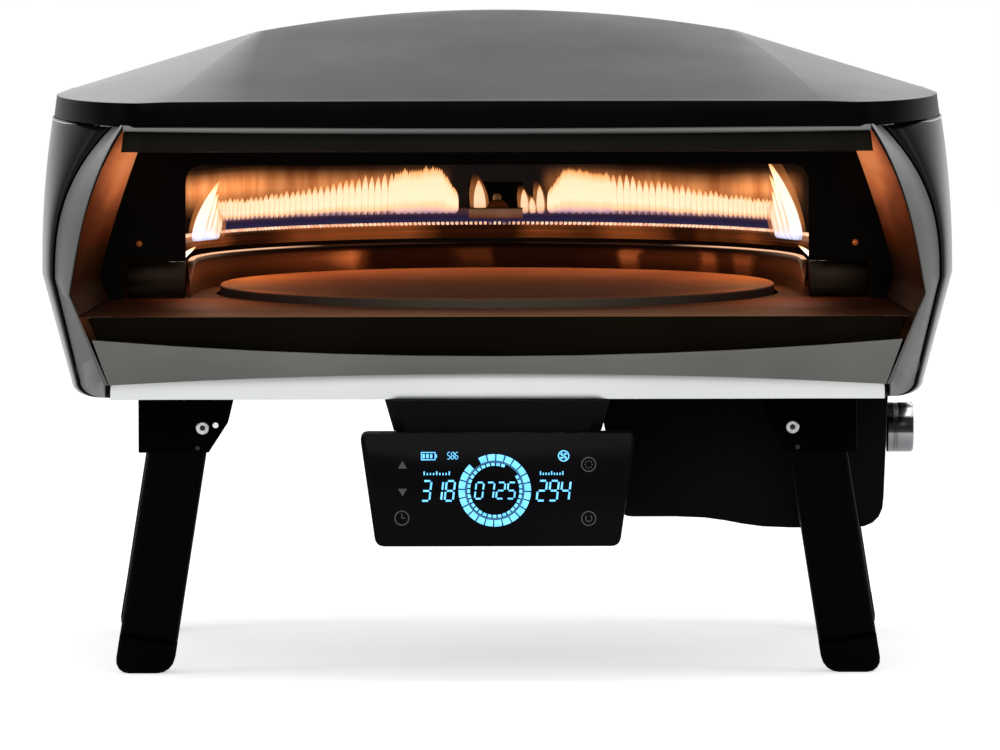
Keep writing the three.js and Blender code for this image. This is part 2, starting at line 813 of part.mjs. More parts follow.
// Turntable: a stone on a carrier, on a shaft that a geared motor turns
const stoneTopZ = deckZ + stoneRise;
const carrierTopZ = stoneTopZ - stoneThickness - seatGap;
const carrierHubZ = carrierTopZ - carrierThickness - carrierHubHeight;
const motorZ = trayZ + traySheet + seatGap;
const motorTopZ = motorZ + motorHeight;
const bossTopZ = motorTopZ + motorBossHeight;

function turnedBody(profile, segments, x, y) {
  const points = profile.map(([radius, z]) => new THREE.Vector2(radius, z));
  return new THREE.LatheGeometry(points, segments).rotateX(Math.PI / 2).translate(x, y, 0);
}

function pizzaStone() {
  const radius = stoneDiameter / 2;
  const lowZ = stoneTopZ - stoneThickness;
  const profile = [
    [0, lowZ],
    [radius - stoneEdge, lowZ],
    [radius, lowZ + stoneEdge],
    [radius, stoneTopZ - stoneEdge],
    [radius - stoneEdge, stoneTopZ],
    [0, stoneTopZ],
  ];
  return turnedBody(profile, stoneSegments, 0, stoneY);
}

function stoneCarrier() {
  const radius = carrierDiameter / 2;
  const disc = post(radius, 0, stoneY, carrierTopZ - carrierThickness, carrierTopZ, arcSegments * 2);
  const hub = post(carrierHubRadius, 0, stoneY, carrierHubZ, carrierTopZ - carrierThickness / 2);
  const bore = post(shaftRadius + seatGap, 0, stoneY, carrierHubZ - overrun, carrierTopZ - carrierThickness);
  const outerReach = radius - carrierRimBand;
  const innerReach = carrierHubRadius + carrierHubBand;
  const middleReach = (outerReach + innerReach) / 2;
  const openings = Array.from({ length: carrierOpenings }, (_, place) => {
    const angle = (place / carrierOpenings) * Math.PI * 2;
    const x = middleReach * Math.cos(angle);
    const y = stoneY + middleReach * Math.sin(angle);
    return post((outerReach - innerReach) / 2, x, y, carrierHubZ - overrun, rimZ);
  });
  return cut(joined(disc, hub), bore, ...openings);
}

function turntableShaft() {
  return post(shaftRadius, 0, stoneY, bossTopZ - shaftSink, carrierTopZ - carrierThickness - seatGap);
}

function shaftBush() {
  const radius = shaftRadius + runningGap + bushWall;
  const sleeve = post(radius, 0, stoneY, bossTopZ - bushLength, bossTopZ + seatGap + bushFlange / 2);
  const flange = post(radius + bushWall, 0, stoneY, bossTopZ + seatGap, bossTopZ + seatGap + bushFlange);
  const bore = post(shaftRadius + runningGap, 0, stoneY, motorZ, rimZ);
  return cut(joined(sleeve, flange), bore);
}

function gearMotor() {
  const half = motorSide / 2;
  const housing = block(-half, half, stoneY - half, stoneY + half, motorZ, motorTopZ);
  const boss = post(motorBossRadius, 0, stoneY, (motorZ + motorTopZ) / 2, bossTopZ);
  const seatRadius = shaftRadius + runningGap + bushWall + seatGap;
  const seat = post(seatRadius, 0, stoneY, bossTopZ - bushLength - seatGap, rimZ);
  const well = post(shaftRadius + runningGap, 0, stoneY, bossTopZ - shaftSink - seatGap, rimZ);
  return cut(joined(housing, boss), seat, well);
}

// Burner: a horseshoe tube whose straight ends lie on two boxes
const burnerZ = deckZ + burnerAxisRise;
const burnerBoxTopZ = burnerZ - burnerTube - seatGap;

class Horseshoe extends THREE.Curve {
  constructor(radius, endY, z) {
    super();
    this.radius = radius;
    this.endRun = stoneY - endY;
    this.z = z;
  }

  getPoint(share, target = new THREE.Vector3()) {
    const arc = Math.PI * this.radius;
    const length = share * (arc + this.endRun * 2);
    if (length < this.endRun) return target.set(this.radius, stoneY - this.endRun + length, this.z);
    if (length > this.endRun + arc) {
      return target.set(-this.radius, stoneY - (length - this.endRun - arc), this.z);
    }
    const angle = (length - this.endRun) / this.radius;
    return target.set(this.radius * Math.cos(angle), stoneY + this.radius * Math.sin(angle), this.z);
  }
}

function burnerTubeBody() {
  const section = new THREE.Shape();
  for (let side = 0; side < tubeSides; side += 1) {
    const angle = ((side + 1 / 2) / tubeSides) * Math.PI * 2;
    const x = burnerTube * Math.cos(angle);
    const y = burnerTube * Math.sin(angle);
    if (side === 0) section.moveTo(x, y);
    else section.lineTo(x, y);
  }
  const extrudePath = new Horseshoe(burnerRadius, burnerLegY, burnerZ);
  return new THREE.ExtrudeGeometry(section, { steps: tubeSteps, bevelEnabled: false, extrudePath });
}

function burnerBox(withPipe) {
  const left = burnerRadius - burnerBoxWidth / 4;
  const rearEdge = burnerBoxFrontY + burnerBoxDepth;
  const body = block(left, left + burnerBoxWidth, burnerBoxFrontY, rearEdge, deckZ + seatGap, burnerBoxTopZ);
  if (!withPipe) return body;
  const socket = post(pipeRadius + seatGap, pipeX, pipeY, trayZ, deckZ + burnerAxisRise / 2, pinSegments);
  return cut(body, socket);
}

// The flame guard: a low wall between stone and burner with a flared lip, sinking to a foot at each end.
function guardSection(outX, outY, reach, station) {
  const footZ = deckZ + seatGap;
  const high = guardHeight * guardHeightShares[station];
  const flare = guardFlare * guardFlareShares[station];
  const place = (out, z) => at(outX * (reach + out), outY(reach + out), z);
  return [
    place(0, footZ),
    place(0, footZ + high / 2),
    place(0, footZ + high - guardLip),
    place(flare / 2, footZ + high - guardLip / 2),
    place(flare, footZ + high),
  ];
}

function flameGuard() {
  const last = guardEndShares.length - 1;
  const rows = guardEndShares.slice(0, last).map((share, place) => {
    const y = guardFrontY + (stoneY - guardFrontY) * share;
    const reach = guardRadius + guardFootFlare * (1 - share);
    return guardSection(1, () => y, reach, place);
  });
  for (let step = 0; step <= arcSegments; step += 1) {
    const angle = (step / arcSegments) * Math.PI;
    rows.push(guardSection(Math.cos(angle), (reach) => stoneY + reach * Math.sin(angle), guardRadius, last));
  }
  const end = rows.slice(0, last).reverse();
  rows.push(...end.map((section) => section.map(({ x, y, z }) => at(-x, y, z))));
  return sheet(rows, -linerSheet / 2, at(0, stoneY, deckZ));
}

// Igniter: a ceramic electrode in a folded bracket on the rear wall, just over the tube
const igniterShelfZ = deckZ + igniterShelfRise;
const electrodeY = stoneY + burnerRadius;
const igniterFrontY = electrodeY - igniterReach;

function igniterBracket() {
  const wallY = Math.sqrt((chamberHalf - linerSheet) ** 2 - igniterLeft ** 2) - seatGap;
  const shelfZ = igniterShelfZ - igniterSheet;
  const shelf = block(igniterLeft, igniterRight, igniterFrontY, wallY, shelfZ, igniterShelfZ);
  const lipZ = igniterShelfZ - igniterLipHeight;
  const lipY = igniterFrontY + igniterSheet;
  const lip = block(igniterLeft, igniterRight, igniterFrontY, lipY, lipZ, igniterShelfZ);
  const flangeTop = igniterShelfZ + igniterFlangeHeight;
  const flange = block(igniterLeft, igniterRight, wallY - igniterSheet, wallY, shelfZ, flangeTop);
  const hole = post(electrodeRadius + seatGap, 0, electrodeY, deckZ, rimZ, pinSegments);
  return cut(joined(shelf, lip, flange), hole);
}

function igniterElectrode() {
  const lowZ = burnerZ + burnerTube + electrodeTipGap;
  const profile = [
    [0, lowZ],
    [electrodeRadius / 3, lowZ],
    [electrodeRadius / 3, lowZ + electrodeTipGap],
    [electrodeRadius, lowZ + electrodeTipGap],
    [electrodeRadius, lowZ + electrodeHeight - electrodeRadius / 2],
    [electrodeRadius / 2, lowZ + electrodeHeight],
    [0, lowZ + electrodeHeight],
  ];
  return turnedBody(profile, pinSegments, 0, electrodeY);
}

function flameProbe() {
  const x = burnerRadius + burnerBoxWidth * (3 / 4) - probeInset;
  const y = burnerBoxFrontY + probeInset;
  const lowZ = burnerBoxTopZ + seatGap;
  const stem = post(probeRadius, x, y, lowZ, lowZ + probeHeight, tubeSides);
  const tip = crossPin(probeRadius, x, lowZ + probeHeight - probeRadius, y, y + probeReach, tubeSides);
  const foot = post(probeRadius * 2, x, y, lowZ, lowZ + probeRadius, tubeSides);
  return joined(stem, tip, foot);
}

// Display
const displayTopZ = trayZ - displayDrop;
const displayBottomZ = displayTopZ - displayHeight;

function displayOutline(inset) {
  const top = displayTopHalf - inset;
  const bottom = displayBottomHalf - inset;
  const topZ = displayTopZ - inset;
  const bottomZ = displayBottomZ + inset;
  const corner = displayCorner - inset / 2;
  const drawIn = (corner * (top - bottom)) / (topZ - bottomZ);
  const shape = new THREE.Shape();
  shape.moveTo(corner - bottom, bottomZ);
  shape.lineTo(bottom - corner, bottomZ);
  shape.quadraticCurveTo(bottom, bottomZ, bottom + drawIn, bottomZ + corner);
  shape.lineTo(top - drawIn, topZ - corner);
  shape.quadraticCurveTo(top, topZ, top - corner, topZ);
  shape.lineTo(corner - top, topZ);
  shape.quadraticCurveTo(-top, topZ, drawIn - top, topZ - corner);
  shape.lineTo(-bottom - drawIn, bottomZ + corner);
  shape.quadraticCurveTo(-bottom, bottomZ, corner - bottom, bottomZ);
  return shape;
}

const displayShellY = frontY + glassThickness + seatGap;
const boardY = displayShellY + boardSetback;

function displayGlass() {
  return upright(displayOutline(0), frontY, glassThickness, planSteps);
}

function displayShell() {
  const blank = upright(displayOutline(0), displayShellY, displayDepth, planSteps);
  const hollowDepth = displayDepth - displayWall + overrun;
  const hollow = upright(displayOutline(displayWall), displayShellY - overrun, hollowDepth, planSteps);
  const shellBackY = displayShellY + displayDepth;
  const postX = displayBottomHalf - boardInset * 2;
  const postY = boardY + boardThickness + seatGap;
  const posts = [displayTopZ - boardInset * 2, displayBottomZ + boardInset * 2].flatMap((z) =>
    [-postX, postX].map((x) => crossPin(postRadius, x, z, postY, shellBackY - displayWall / 2)),
  );
  return joined(cut(blank, hollow), ...posts);
}

function displayBoard() {
  const half = displayBottomHalf - boardInset;
  const lowZ = displayBottomZ + boardInset;
  return block(-half, half, boardY, boardY + boardThickness, lowZ, displayTopZ - boardInset);
}

function armSection(half, z, inset) {
  const nearY = frontY + armSetback + inset;
  const farY = frontY + armSetback + armDepth - inset;
  const wide = half - inset;
  return [
    at(armChamfer - wide, nearY, z),
    at(wide - armChamfer, nearY, z),
    at(wide, nearY + armChamfer, z),
    at(wide, farY, z),
    at(-wide, farY, z),
    at(-wide, nearY + armChamfer, z),
  ];
}

function displayArm() {
  const topZ = trayZ - seatGap;
  const lowZ = displayTopZ + seatGap;
  const blank = loft([armSection(armBottomHalf, lowZ, 0), armSection(armTopHalf, topZ, 0)]);
  const hollow = loft([
    armSection(armBottomHalf, lowZ - overrun, armWall),
    armSection(armTopHalf, topZ + overrun, armWall),
  ]);
  return cut(blank, hollow);
}

// Control housing, open towards the tray
function housingOutline(inset, topZ) {
  const lowZ = trayZ - housingDrop + inset;
  const stepZ = lowZ + housingStep;
  const left = housingLeftBottom + inset;
  const right = housingRight - housingRightLean - inset;
  const cornerRight = housingCornerRight - inset;
  const cornerLeft = housingCornerLeft - inset;
  const middle = (housingStepStart + housingStepEnd) / 2;
  const shape = new THREE.Shape();
  shape.moveTo(left + cornerLeft, stepZ);
  shape.lineTo(housingStepStart, stepZ);
  shape.bezierCurveTo(middle, stepZ, middle, lowZ, housingStepEnd, lowZ);
  shape.lineTo(right - cornerRight, lowZ);
  shape.quadraticCurveTo(right, lowZ, right, lowZ + cornerRight);
  shape.lineTo(housingRight - inset, topZ);
  shape.lineTo(housingLeftTop + inset, topZ);
  shape.lineTo(left, stepZ + cornerLeft);
  shape.quadraticCurveTo(left, stepZ, left + cornerLeft, stepZ);
  return shape;
}

const housingHalfDepth = legY - housingLegRoom;
const housingTopZ = trayZ - seatGap;
const knobZ = trayZ - knobDrop;
const ribTopZ = trayZ - housingDrop + housingStep + mouldedWall + batteryRibHeight;
const batteryZ = ribTopZ + seatGap;
const doorLeft = batteryLeft - doorMargin;
const doorRight = batteryRight + doorMargin;
const doorLowZ = ribTopZ - doorMargin;
const doorTopZ = batteryZ + batteryHeight + doorMargin;
const barrelY = housingHalfDepth + panelGap + barrelRadius;
const barrelZ = doorLowZ - barrelRadius;
const batteryRearY = housingHalfDepth - mouldedWall - doorMargin;
const batteryFrontY = batteryRearY - batteryDepth;
const inletZ = trayZ - inletDrop;

function controlHousing() {
  const blank = upright(housingOutline(0, housingTopZ), -housingHalfDepth, housingHalfDepth * 2, planSteps);
  const hollowY = mouldedWall - housingHalfDepth;
  const hollowOutline = housingOutline(mouldedWall, housingTopZ + overrun);
  const hollow = upright(hollowOutline, hollowY, -hollowY * 2, planSteps);
  const spindleHole = sidePin(spindleRadius + runningGap, 0, knobZ, pipeX, housingRight + overrun);
  const outsideY = housingHalfDepth + overrun;
  const inletHole = crossPin(inletRadius + runningGap, inletX, inletZ, valveRearY, outsideY);
  const doorway = block(doorLeft, doorRight, batteryRearY, outsideY, doorLowZ, doorTopZ);
  const ribLowZ = ribTopZ - batteryRibHeight - mouldedWall / 2;
  const ribs = [batteryFrontY + batteryRibInset, batteryRearY - batteryRibInset].map((y) =>
    block(batteryLeft, batteryRight, y, y + mouldedWall, ribLowZ, ribTopZ),
  );
  const lugStart = barrelLength / 2 + runningGap;
  const doorMiddle = (doorLeft + doorRight) / 2;
  const lugFoot = housingHalfDepth - mouldedWall / 2;
  const lugTop = barrelZ + barrelRadius / 2;
  const lugs = [doorMiddle - lugStart - lugLength, doorMiddle + lugStart].map((left) =>
    block(left, left + lugLength, lugFoot, barrelY + barrelRadius, barrelZ - barrelRadius, lugTop),
  );
  return joined(cut(blank, hollow, spindleHole, inletHole, doorway), ...ribs, ...lugs);
}

function batteryPack() {
  return block(batteryLeft, batteryRight, batteryFrontY, batteryRearY, batteryZ, batteryZ + batteryHeight);
}

// The battery door fills its doorway; a barrel along its lower edge turns between two lugs.
function batteryDoor() {
  const doorMiddle = (doorLeft + doorRight) / 2;
  const near = housingHalfDepth - mouldedWall;
  const panel = block(
    doorLeft + panelGap,
    doorRight - panelGap,
    near,
    housingHalfDepth,
    doorLowZ + panelGap,
    doorTopZ - panelGap,
  );
  const left = doorMiddle - barrelLength / 2;
  const right = doorMiddle + barrelLength / 2;
  const barrel = sidePin(barrelRadius, barrelY, barrelZ, left, right, pinSegments);
  const strapY = housingHalfDepth + panelGap;
  const strapTop = doorLowZ + doorMargin * 2;
  const strap = block(left, right, strapY, barrelY + barrelRadius, barrelZ, strapTop);
  const bridge = block(left, right, near, strapY + panelGap, doorLowZ + doorMargin, strapTop);
  return joined(panel, barrel, strap, bridge);
}

// Gas valve with a nose that reaches the housing's wall; slider, spindle and knob on one axis
const wallHeight = housingDrop - housingCornerRight;
const noseWallX = housingRight - (housingRightLean * (trayZ - knobZ + noseRadius)) / wallHeight;
const noseEndX = noseWallX - mouldedWall - seatGap;
const valveRightX = noseEndX - noseLength;
const valveLeftX = valveRightX - valveLength;
const valveTopZ = knobZ + valveHeight / 2;
const sliderRadius = spindleRadius + runningGap + sliderWall;
const sliderEndX = noseEndX - knobTravel;
const spindleStartX = valveRightX - spindleRadius * 2;
const knobWallX = housingRight - (housingRightLean * (trayZ - knobZ - knobDiameter / 2)) / wallHeight;
const knobStartX = knobWallX + knobTravel + knobGap;
const noseBoreX = sliderEndX - sliderLength - knobTravel - runningGap;

function gasValve() {
  const body = block(valveLeftX, valveRightX, valveFrontY, valveRearY, valveTopZ - valveHeight, valveTopZ);
  const nose = sidePin(noseRadius, 0, knobZ, (valveLeftX + valveRightX) / 2, noseEndX);
  const bore = sidePin(sliderRadius + runningGap, 0, knobZ, noseBoreX, noseEndX + overrun);
  const spindleBoreX = spindleStartX - knobTravel - seatGap;
  const spindleBore = sidePin(spindleRadius + runningGap, 0, knobZ, spindleBoreX, noseEndX);
  const outletZ = valveTopZ - spindleRadius * 2;
  const outlet = post(pipeRadius + seatGap, pipeX, pipeY, outletZ, valveTopZ + overrun, pinSegments);
  return cut(joined(body, nose), bore, spindleBore, outlet);
}

function knobSlider() {
  const ring = sidePin(sliderRadius, 0, knobZ, sliderEndX - sliderLength, sliderEndX);
  return cut(ring, sidePin(spindleRadius + runningGap, 0, knobZ, valveLeftX, housingRight));
}

function valveSpindle() {
  return sidePin(spindleRadius, 0, knobZ, spindleStartX, knobStartX + spindleInKnob - seatGap);
}

function controlKnob() {
  const radius = knobDiameter / 2;
  const endX = knobStartX + knobLength;
  const profile = [
    [0, knobStartX],
    [radius - knobChamfer, knobStartX],
    [radius, knobStartX + knobChamfer],
    [radius, endX - knobChamfer],
    [radius - knobChamfer, endX],
    [0, endX],
  ].map(([across, along]) => new THREE.Vector2(across, along));
  const turned = new THREE.LatheGeometry(profile, arcSegments * 2);
  const body = turned.rotateZ(-Math.PI / 2).translate(0, 0, knobZ);
  const bore = sidePin(spindleRadius + seatGap, 0, knobZ, knobStartX - overrun, knobStartX + spindleInKnob);
  const notchTop = knobZ + radius;
  const half = knobNotchWidth / 2;
  const notchZ = notchTop - knobNotchDepth;
  const notch = block(endX - knobNotchWidth, endX + overrun, -half, half, notchZ, notchTop + overrun);
  return cut(body, bore, notch);
}

function gasPipe() {
  const lowZ = valveTopZ - spindleRadius * 2 + seatGap;
  return post(pipeRadius, pipeX, pipeY, lowZ, deckZ + burnerAxisRise / 2 - seatGap, pinSegments);
}

function gasInlet() {
  const hexY = housingHalfDepth + seatGap;
  const tube = crossPin(inletRadius, inletX, inletZ, valveRearY + seatGap, hexY + inletHexLength / 2);
  const hex = crossPin(inletHexWidth / Math.sqrt(3), inletX, inletZ, hexY, hexY + inletHexLength, hexSides);
  const threadY = hexY + inletHexLength;
  const thread = crossPin(inletThreadRadius, inletX, inletZ, threadY - seatGap, threadY + inletThreadLength);
  return joined(tube, hex, thread);
}

// Legs, drawn for the right front corner; a spread moves the rear pairs outwards
const pivotZ = trayZ - pivotDrop;
const legSplay = THREE.MathUtils.degToRad(legSplayDegrees);
const legEnd = (pivotZ + legOffset * Math.sin(legSplay) - footHeight) / Math.cos(legSplay);

// A point beside the leg's centre line, at a distance from the pivot's level along the leg.
function legPoint(along, across) {
  const out = legOffset + across;
  return [
    pivotHalf + along * Math.sin(legSplay) + out * Math.cos(legSplay),
    pivotZ - along * Math.cos(legSplay) + out * Math.sin(legSplay),
  ];
}

function groundReach(across) {
  return (pivotZ + (legOffset + across) * Math.sin(legSplay)) / Math.cos(legSplay);
}

function legOutline() {
  const half = legWidth / 2;
  const stopHalf = bracketOuterHalf - bracketSheet - seatGap;
  const headRadius = stopHalf - pivotHalf;
  const topAngle = Math.asin(legHeadRadius / headRadius);
  const [innerX, innerZ] = legPoint(legHeelHeight, -half);
  const [outerX, outerZ] = legPoint(legHeelHeight + legHeelStep, half);
  const shape = new THREE.Shape();
  shape.moveTo(stopHalf, pivotZ);
  shape.absarc(pivotHalf, pivotZ, headRadius, 0, topAngle);
  shape.lineTo(pivotHalf, pivotZ + legHeadRadius);
  shape.absarc(pivotHalf, pivotZ, legHeadRadius, Math.PI / 2, Math.PI);
  shape.lineTo(innerX, innerZ);
  shape.lineTo(...legPoint(legEnd, -half));
  shape.lineTo(...legPoint(legEnd, half));
  shape.lineTo(outerX, outerZ);
  shape.lineTo(stopHalf, outerZ + legHeelStep);
  return shape;
}

function spigotOutline(clearance) {
  const half = legWidth / 2 - spigotInset + clearance;
  const start = legEnd - spigotLength - clearance;
  const end = legEnd + overrun;
  return outline([legPoint(start, -half), legPoint(start, half), legPoint(end, half), legPoint(end, -half)]);
}

function leg() {
  const halfDepth = legDepth / 2;
  const body = upright(legOutline(), -halfDepth, legDepth, planSteps);
  const eye = crossPin(boltRadius + runningGap, pivotHalf, pivotZ, -halfDepth - overrun, halfDepth + overrun);
  const pocketHalf = halfDepth - spigotInset + seatGap;
  const pocket = upright(spigotOutline(seatGap), -pocketHalf, pocketHalf * 2);
  return cut(body, eye, pocket);
}

function legFoot() {
  const half = legWidth / 2 + footOverlap;
  const top = legEnd + seatGap;
  const inner = groundReach(-half);
  const outer = groundReach(half);
  const shape = outline([
    legPoint(top, -half),
    legPoint(inner - footCorner, -half),
    legPoint(groundReach(footCorner - half), footCorner - half),
    legPoint(groundReach(half - footCorner), half - footCorner),
    legPoint(outer - footCorner, half),
    legPoint(top, half),
  ]);
  const halfDepth = legDepth / 2 + footOverlap;
  const spigotHalf = legDepth / 2 - spigotInset;
  const spigot = upright(spigotOutline(0), -spigotHalf, spigotHalf * 2);
  return joined(upright(shape, -halfDepth, halfDepth * 2), spigot);
}

// The bracket: a top plate under the tray, two cheeks, an outer web that stops the leg, and a sleeve.
function legBracket() {
  const topZ = trayZ - seatGap;
  const lowZ = trayZ - bracketHeight;
  const innerGap = legDepth / 2 + panelGap;
  const outerFace = innerGap + bracketSheet;
  const cheekShape = outline([
    [bracketInnerHalf, topZ],
    [bracketInnerHalf + bracketShoulderInset, topZ - bracketShoulder],
    [bracketInnerHalf + bracketFootInset, lowZ],
    [bracketOuterHalf, lowZ],
    [bracketOuterHalf, topZ],
  ]);
  const cheeks = [-outerFace, innerGap].map((near) => upright(cheekShape, near, bracketSheet));
  const plate = block(bracketInnerHalf, bracketOuterHalf, -outerFace, outerFace, topZ - bracketSheet, topZ);
  const web = block(bracketOuterHalf - bracketSheet, bracketOuterHalf, -outerFace, outerFace, lowZ, topZ);
  const sleeveFace = outerFace + sleeveSheet;
  const holeEnd = sleeveFace + overrun;
  const holes = [
    crossPin(boltRadius + seatGap, pivotHalf, pivotZ, -holeEnd, holeEnd),
    crossPin(lockHoleRadius, pivotHalf - lockHoleInset, pivotZ + lockHoleRise, -holeEnd, holeEnd, tubeSides),
  ];
  const sleeveSkins = [
    block(sleeveHalf, bracketOuterHalf, -sleeveFace, -outerFace + seatGap, lowZ, topZ),
    block(sleeveHalf, bracketOuterHalf, outerFace - seatGap, sleeveFace, lowZ, topZ),
  ];
  return cut(joined(...cheeks, plate, web, ...sleeveSkins), ...holes);
}

function pivotBolt() {
  const face = legDepth / 2 + panelGap + bracketSheet + seatGap;
  const shankEnd = face + boltHeadHeight / 2;
  const shank = crossPin(boltRadius, pivotHalf, pivotZ, -shankEnd, shankEnd);
  const head = crossPin(boltHeadRadius, pivotHalf, pivotZ, -face - boltHeadHeight, -face);
  const nut = crossPin(boltHeadRadius, pivotHalf, pivotZ, face, face + boltHeadHeight, hexSides);
  const headFace = -face - boltHeadHeight;
  const socketEnd = headFace + socketDepth;
  const socket = crossPin(socketRadius, pivotHalf, pivotZ, headFace - overrun, socketEnd, hexSides);
  return cut(joined(shank, head, nut), socket);
}

// Cover: a crowned middle between two side facets, over a skirt that gets lower to the rear
function coverSection(y, half, inset) {
  const share = Math.min(Math.abs(y) / coverDepth, 1);
  const rise = Math.max(1 - share ** crownPower, edgeCrownShare);
  const crease = creaseHalf + creaseSpread * share - inset;
  const fall = (coverFall * Math.max(y - coverFallStart, 0)) / (coverDepth - coverFallStart);
  const foldZ = rimZ + skirtHeight - fall - inset;
  const drop = coverRise - skirtHeight - creaseRise;
  const crown = crownShares.map((part) => [
    crease * part,
    foldZ + rise * (coverRise - skirtHeight + fall - drop * part ** 2),
  ]);
  const bottom = inset > 0 ? rimZ - overrun : rimZ;
  const right = [[half + skirtFlare - inset, bottom], [half - inset, foldZ], ...crown];
  const left = right.slice(0, -1).reverse().map(([x, z]) => [-x, z]);
  return [...right, ...left].map(([x, z]) => at(x, y, z));
}

// Half widths of the cover at stations from one end to its middle
function coverStations(cornerDepth, inset) {
  const straight = coverDepth - cornerDepth;
  const corner = cornerAngleShares.map((share) => {
    const angle = (share * Math.PI) / 2;
    const reach = straight + (cornerDepth - inset) * Math.cos(angle);
    return [reach, coverHalf - coverCornerWidth * (1 - Math.sin(angle))];
  });
  return [...corner, ...coverMiddleShares.map((share) => [straight * share, coverHalf])];
}

function coverBody(inset) {
  const front = coverStations(coverFrontCorner, inset).map(([reach, wide]) => [-reach, wide]);
  const rear = coverStations(coverRearCorner, inset).slice(0, -1).reverse();
  return loft([...front, ...rear].map(([y, wide]) => coverSection(y, wide, inset)));
}

function topCover() {
  return cut(coverBody(0), coverBody(shellSheet));
}

// Rear panel with a row of vents; its lower corners are cut off where the shells turn under
function rearPanel() {
  const rows = panelRows().slice(turnShares.length - 1);
  const side = rows.map(({ sideHalf, sideZ }) => [sideHalf - rearCornerInset - panelGap, sideZ]);
  const [lowX, lowZ] = side[0];
  const turn = footTurn + shellSheet * 2;
  const right = [[lowX - turn, lowZ - footTurnRise], [lowX - shellSheet, lowZ], ...side.slice(1)];
  const left = right.map(([x, z]) => [-x, z]).reverse();
  const panel = upright(outline([...right, ...left]), rearY - shellSheet, shellSheet);
  const ventZ = trayZ + ventRise;
  const vents = Array.from({ length: ventCount }, (_, place) => {
    const x = (place - (ventCount - 1) / 2) * ventPitch;
    const half = ventWidth / 2;
    return block(x - half, x + half, rearY - overrun, rearY + overrun, ventZ, ventZ + ventHeight);
  });
  return cut(panel, ...vents);
}

// The assembly
function piece(name, geometry, surface) {
  const mesh = new THREE.Mesh(geometry, surface);
  mesh.name = name;
  return mesh;
}

function gathered(...members) {
  const group = new THREE.Group();
  group.add(...members);
  return group;
}

function legSet(place, mirror, y, spread) {
  const turn = mirror ? mirrored : (geometry) => geometry;
  const set = gathered(
    piece(`leg_bracket_${place}`, turn(legBracket()), satinGrey()),
    piece(`leg_${place}`, turn(leg()), blackPlastic()),
    piece(`leg_foot_${place}`, turn(legFoot()), rubber()),
    piece(`pivot_bolt_${place}`, turn(pivotBolt()), brightSteel()),
  );
  set.position.set(mirror ? -spread : spread, y, 0);
  return set;
}

const body = gathered(
  piece("top_cover", topCover(), glossBlack()),
  piece("side_shell_left", mirrored(sideShell()), glossBlack()),
  piece("side_shell_right", sideShell(), glossBlack()),
  piece("rear_panel", rearPanel(), glossBlack()),
  piece("base_tray", baseTray(), brightSteel()),
  piece("mouth_frame_left", mirrored(mouthFrame()), flankGrey()),
  piece("mouth_frame_right", mouthFrame(), flankGrey()),
  piece("mouth_frame_top", topBar(), flankGrey()),
  piece("chin_panel", chinPanel(), satinGrey()),
  piece("mouth_cheek_left", mirrored(mouthCheek()), warmSteel()),
  piece("mouth_cheek_right", mouthCheek(), warmSteel()),
  piece("mouth_header", mouthHeader(), heatDark()),
  piece("floor_apron", floorApron(), heatDark()),
  piece("oven_floor", ovenFloor(), warmSteel()),
);

const chamber = gathered(
  piece("chamber_wall", chamberWall(), warmSteel()),
  piece("chamber_roof", chamberRoof(), warmSteel()),
  piece("chamber_arch", chamberArch(), heatDark()),
  piece("wall_insulation", wallBlanket(), wool()),
  piece("roof_insulation", roofInsulation(), wool()),
);

const turntable = gathered(
  piece("pizza_stone", pizzaStone(), stone()),
  piece("stone_carrier", stoneCarrier(), darkSteel()),
  piece("turntable_shaft", turntableShaft(), brightSteel()),
  piece("shaft_bush", shaftBush(), brass()),
  piece("gear_motor", gearMotor(), darkSteel()),
);

const burner = gathered(
  piece("burner_tube", burnerTubeBody(), darkSteel()),
  piece("burner_box_left", mirrored(burnerBox(false)), darkSteel()),
  piece("burner_box_right", burnerBox(true), darkSteel()),
  piece("flame_guard", flameGuard(), warmSteel()),
  piece("igniter_bracket", igniterBracket(), darkSteel()),
  piece("igniter", igniterElectrode(), whiteCeramic()),
  piece("flame_probe", flameProbe(), brightSteel()),
  piece("gas_pipe", gasPipe(), brightSteel()),
);

const display = gathered(
  piece("display_arm", displayArm(), blackPlastic()),
  piece("display_shell", displayShell(), blackPlastic()),
  piece("display_board", displayBoard(), blackPlastic()),
  piece("display_glass", displayGlass(), blackGlass()),
);

const controls = gathered(
  piece("control_housing", controlHousing(), blackPlastic()),
  piece("battery_pack", batteryPack(), blackPlastic()),
  piece("battery_door", batteryDoor(), blackPlastic()),
  piece("gas_valve", gasValve(), brass()),
  piece("gas_inlet", gasInlet(), brass()),
  piece("knob_slider", knobSlider(), brightSteel()),
  piece("valve_spindle", valveSpindle(), brightSteel()),
  piece("control_knob", controlKnob(), brightSteel()),
);

const legs = gathered(
  legSet("front_left", true, -legY, 0),
  legSet("front_right", false, -legY, 0),
  legSet("rear_left", true, legY, rearLegSpread),
  legSet("rear_right", false, legY, rearLegSpread),
);

const group = gathered(body, chamber, turntable, burner, display, controls, legs);

export default group;
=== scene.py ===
"""The looks of the portable pizza oven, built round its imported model.

Lengths are written in millimetres and turned into metres where a mesh is made. +X is to the right
seen from the front, +Y to the back, +Z up, and the mouth faces -Y. Shares run from 0 to 1.
"""

import math
import random

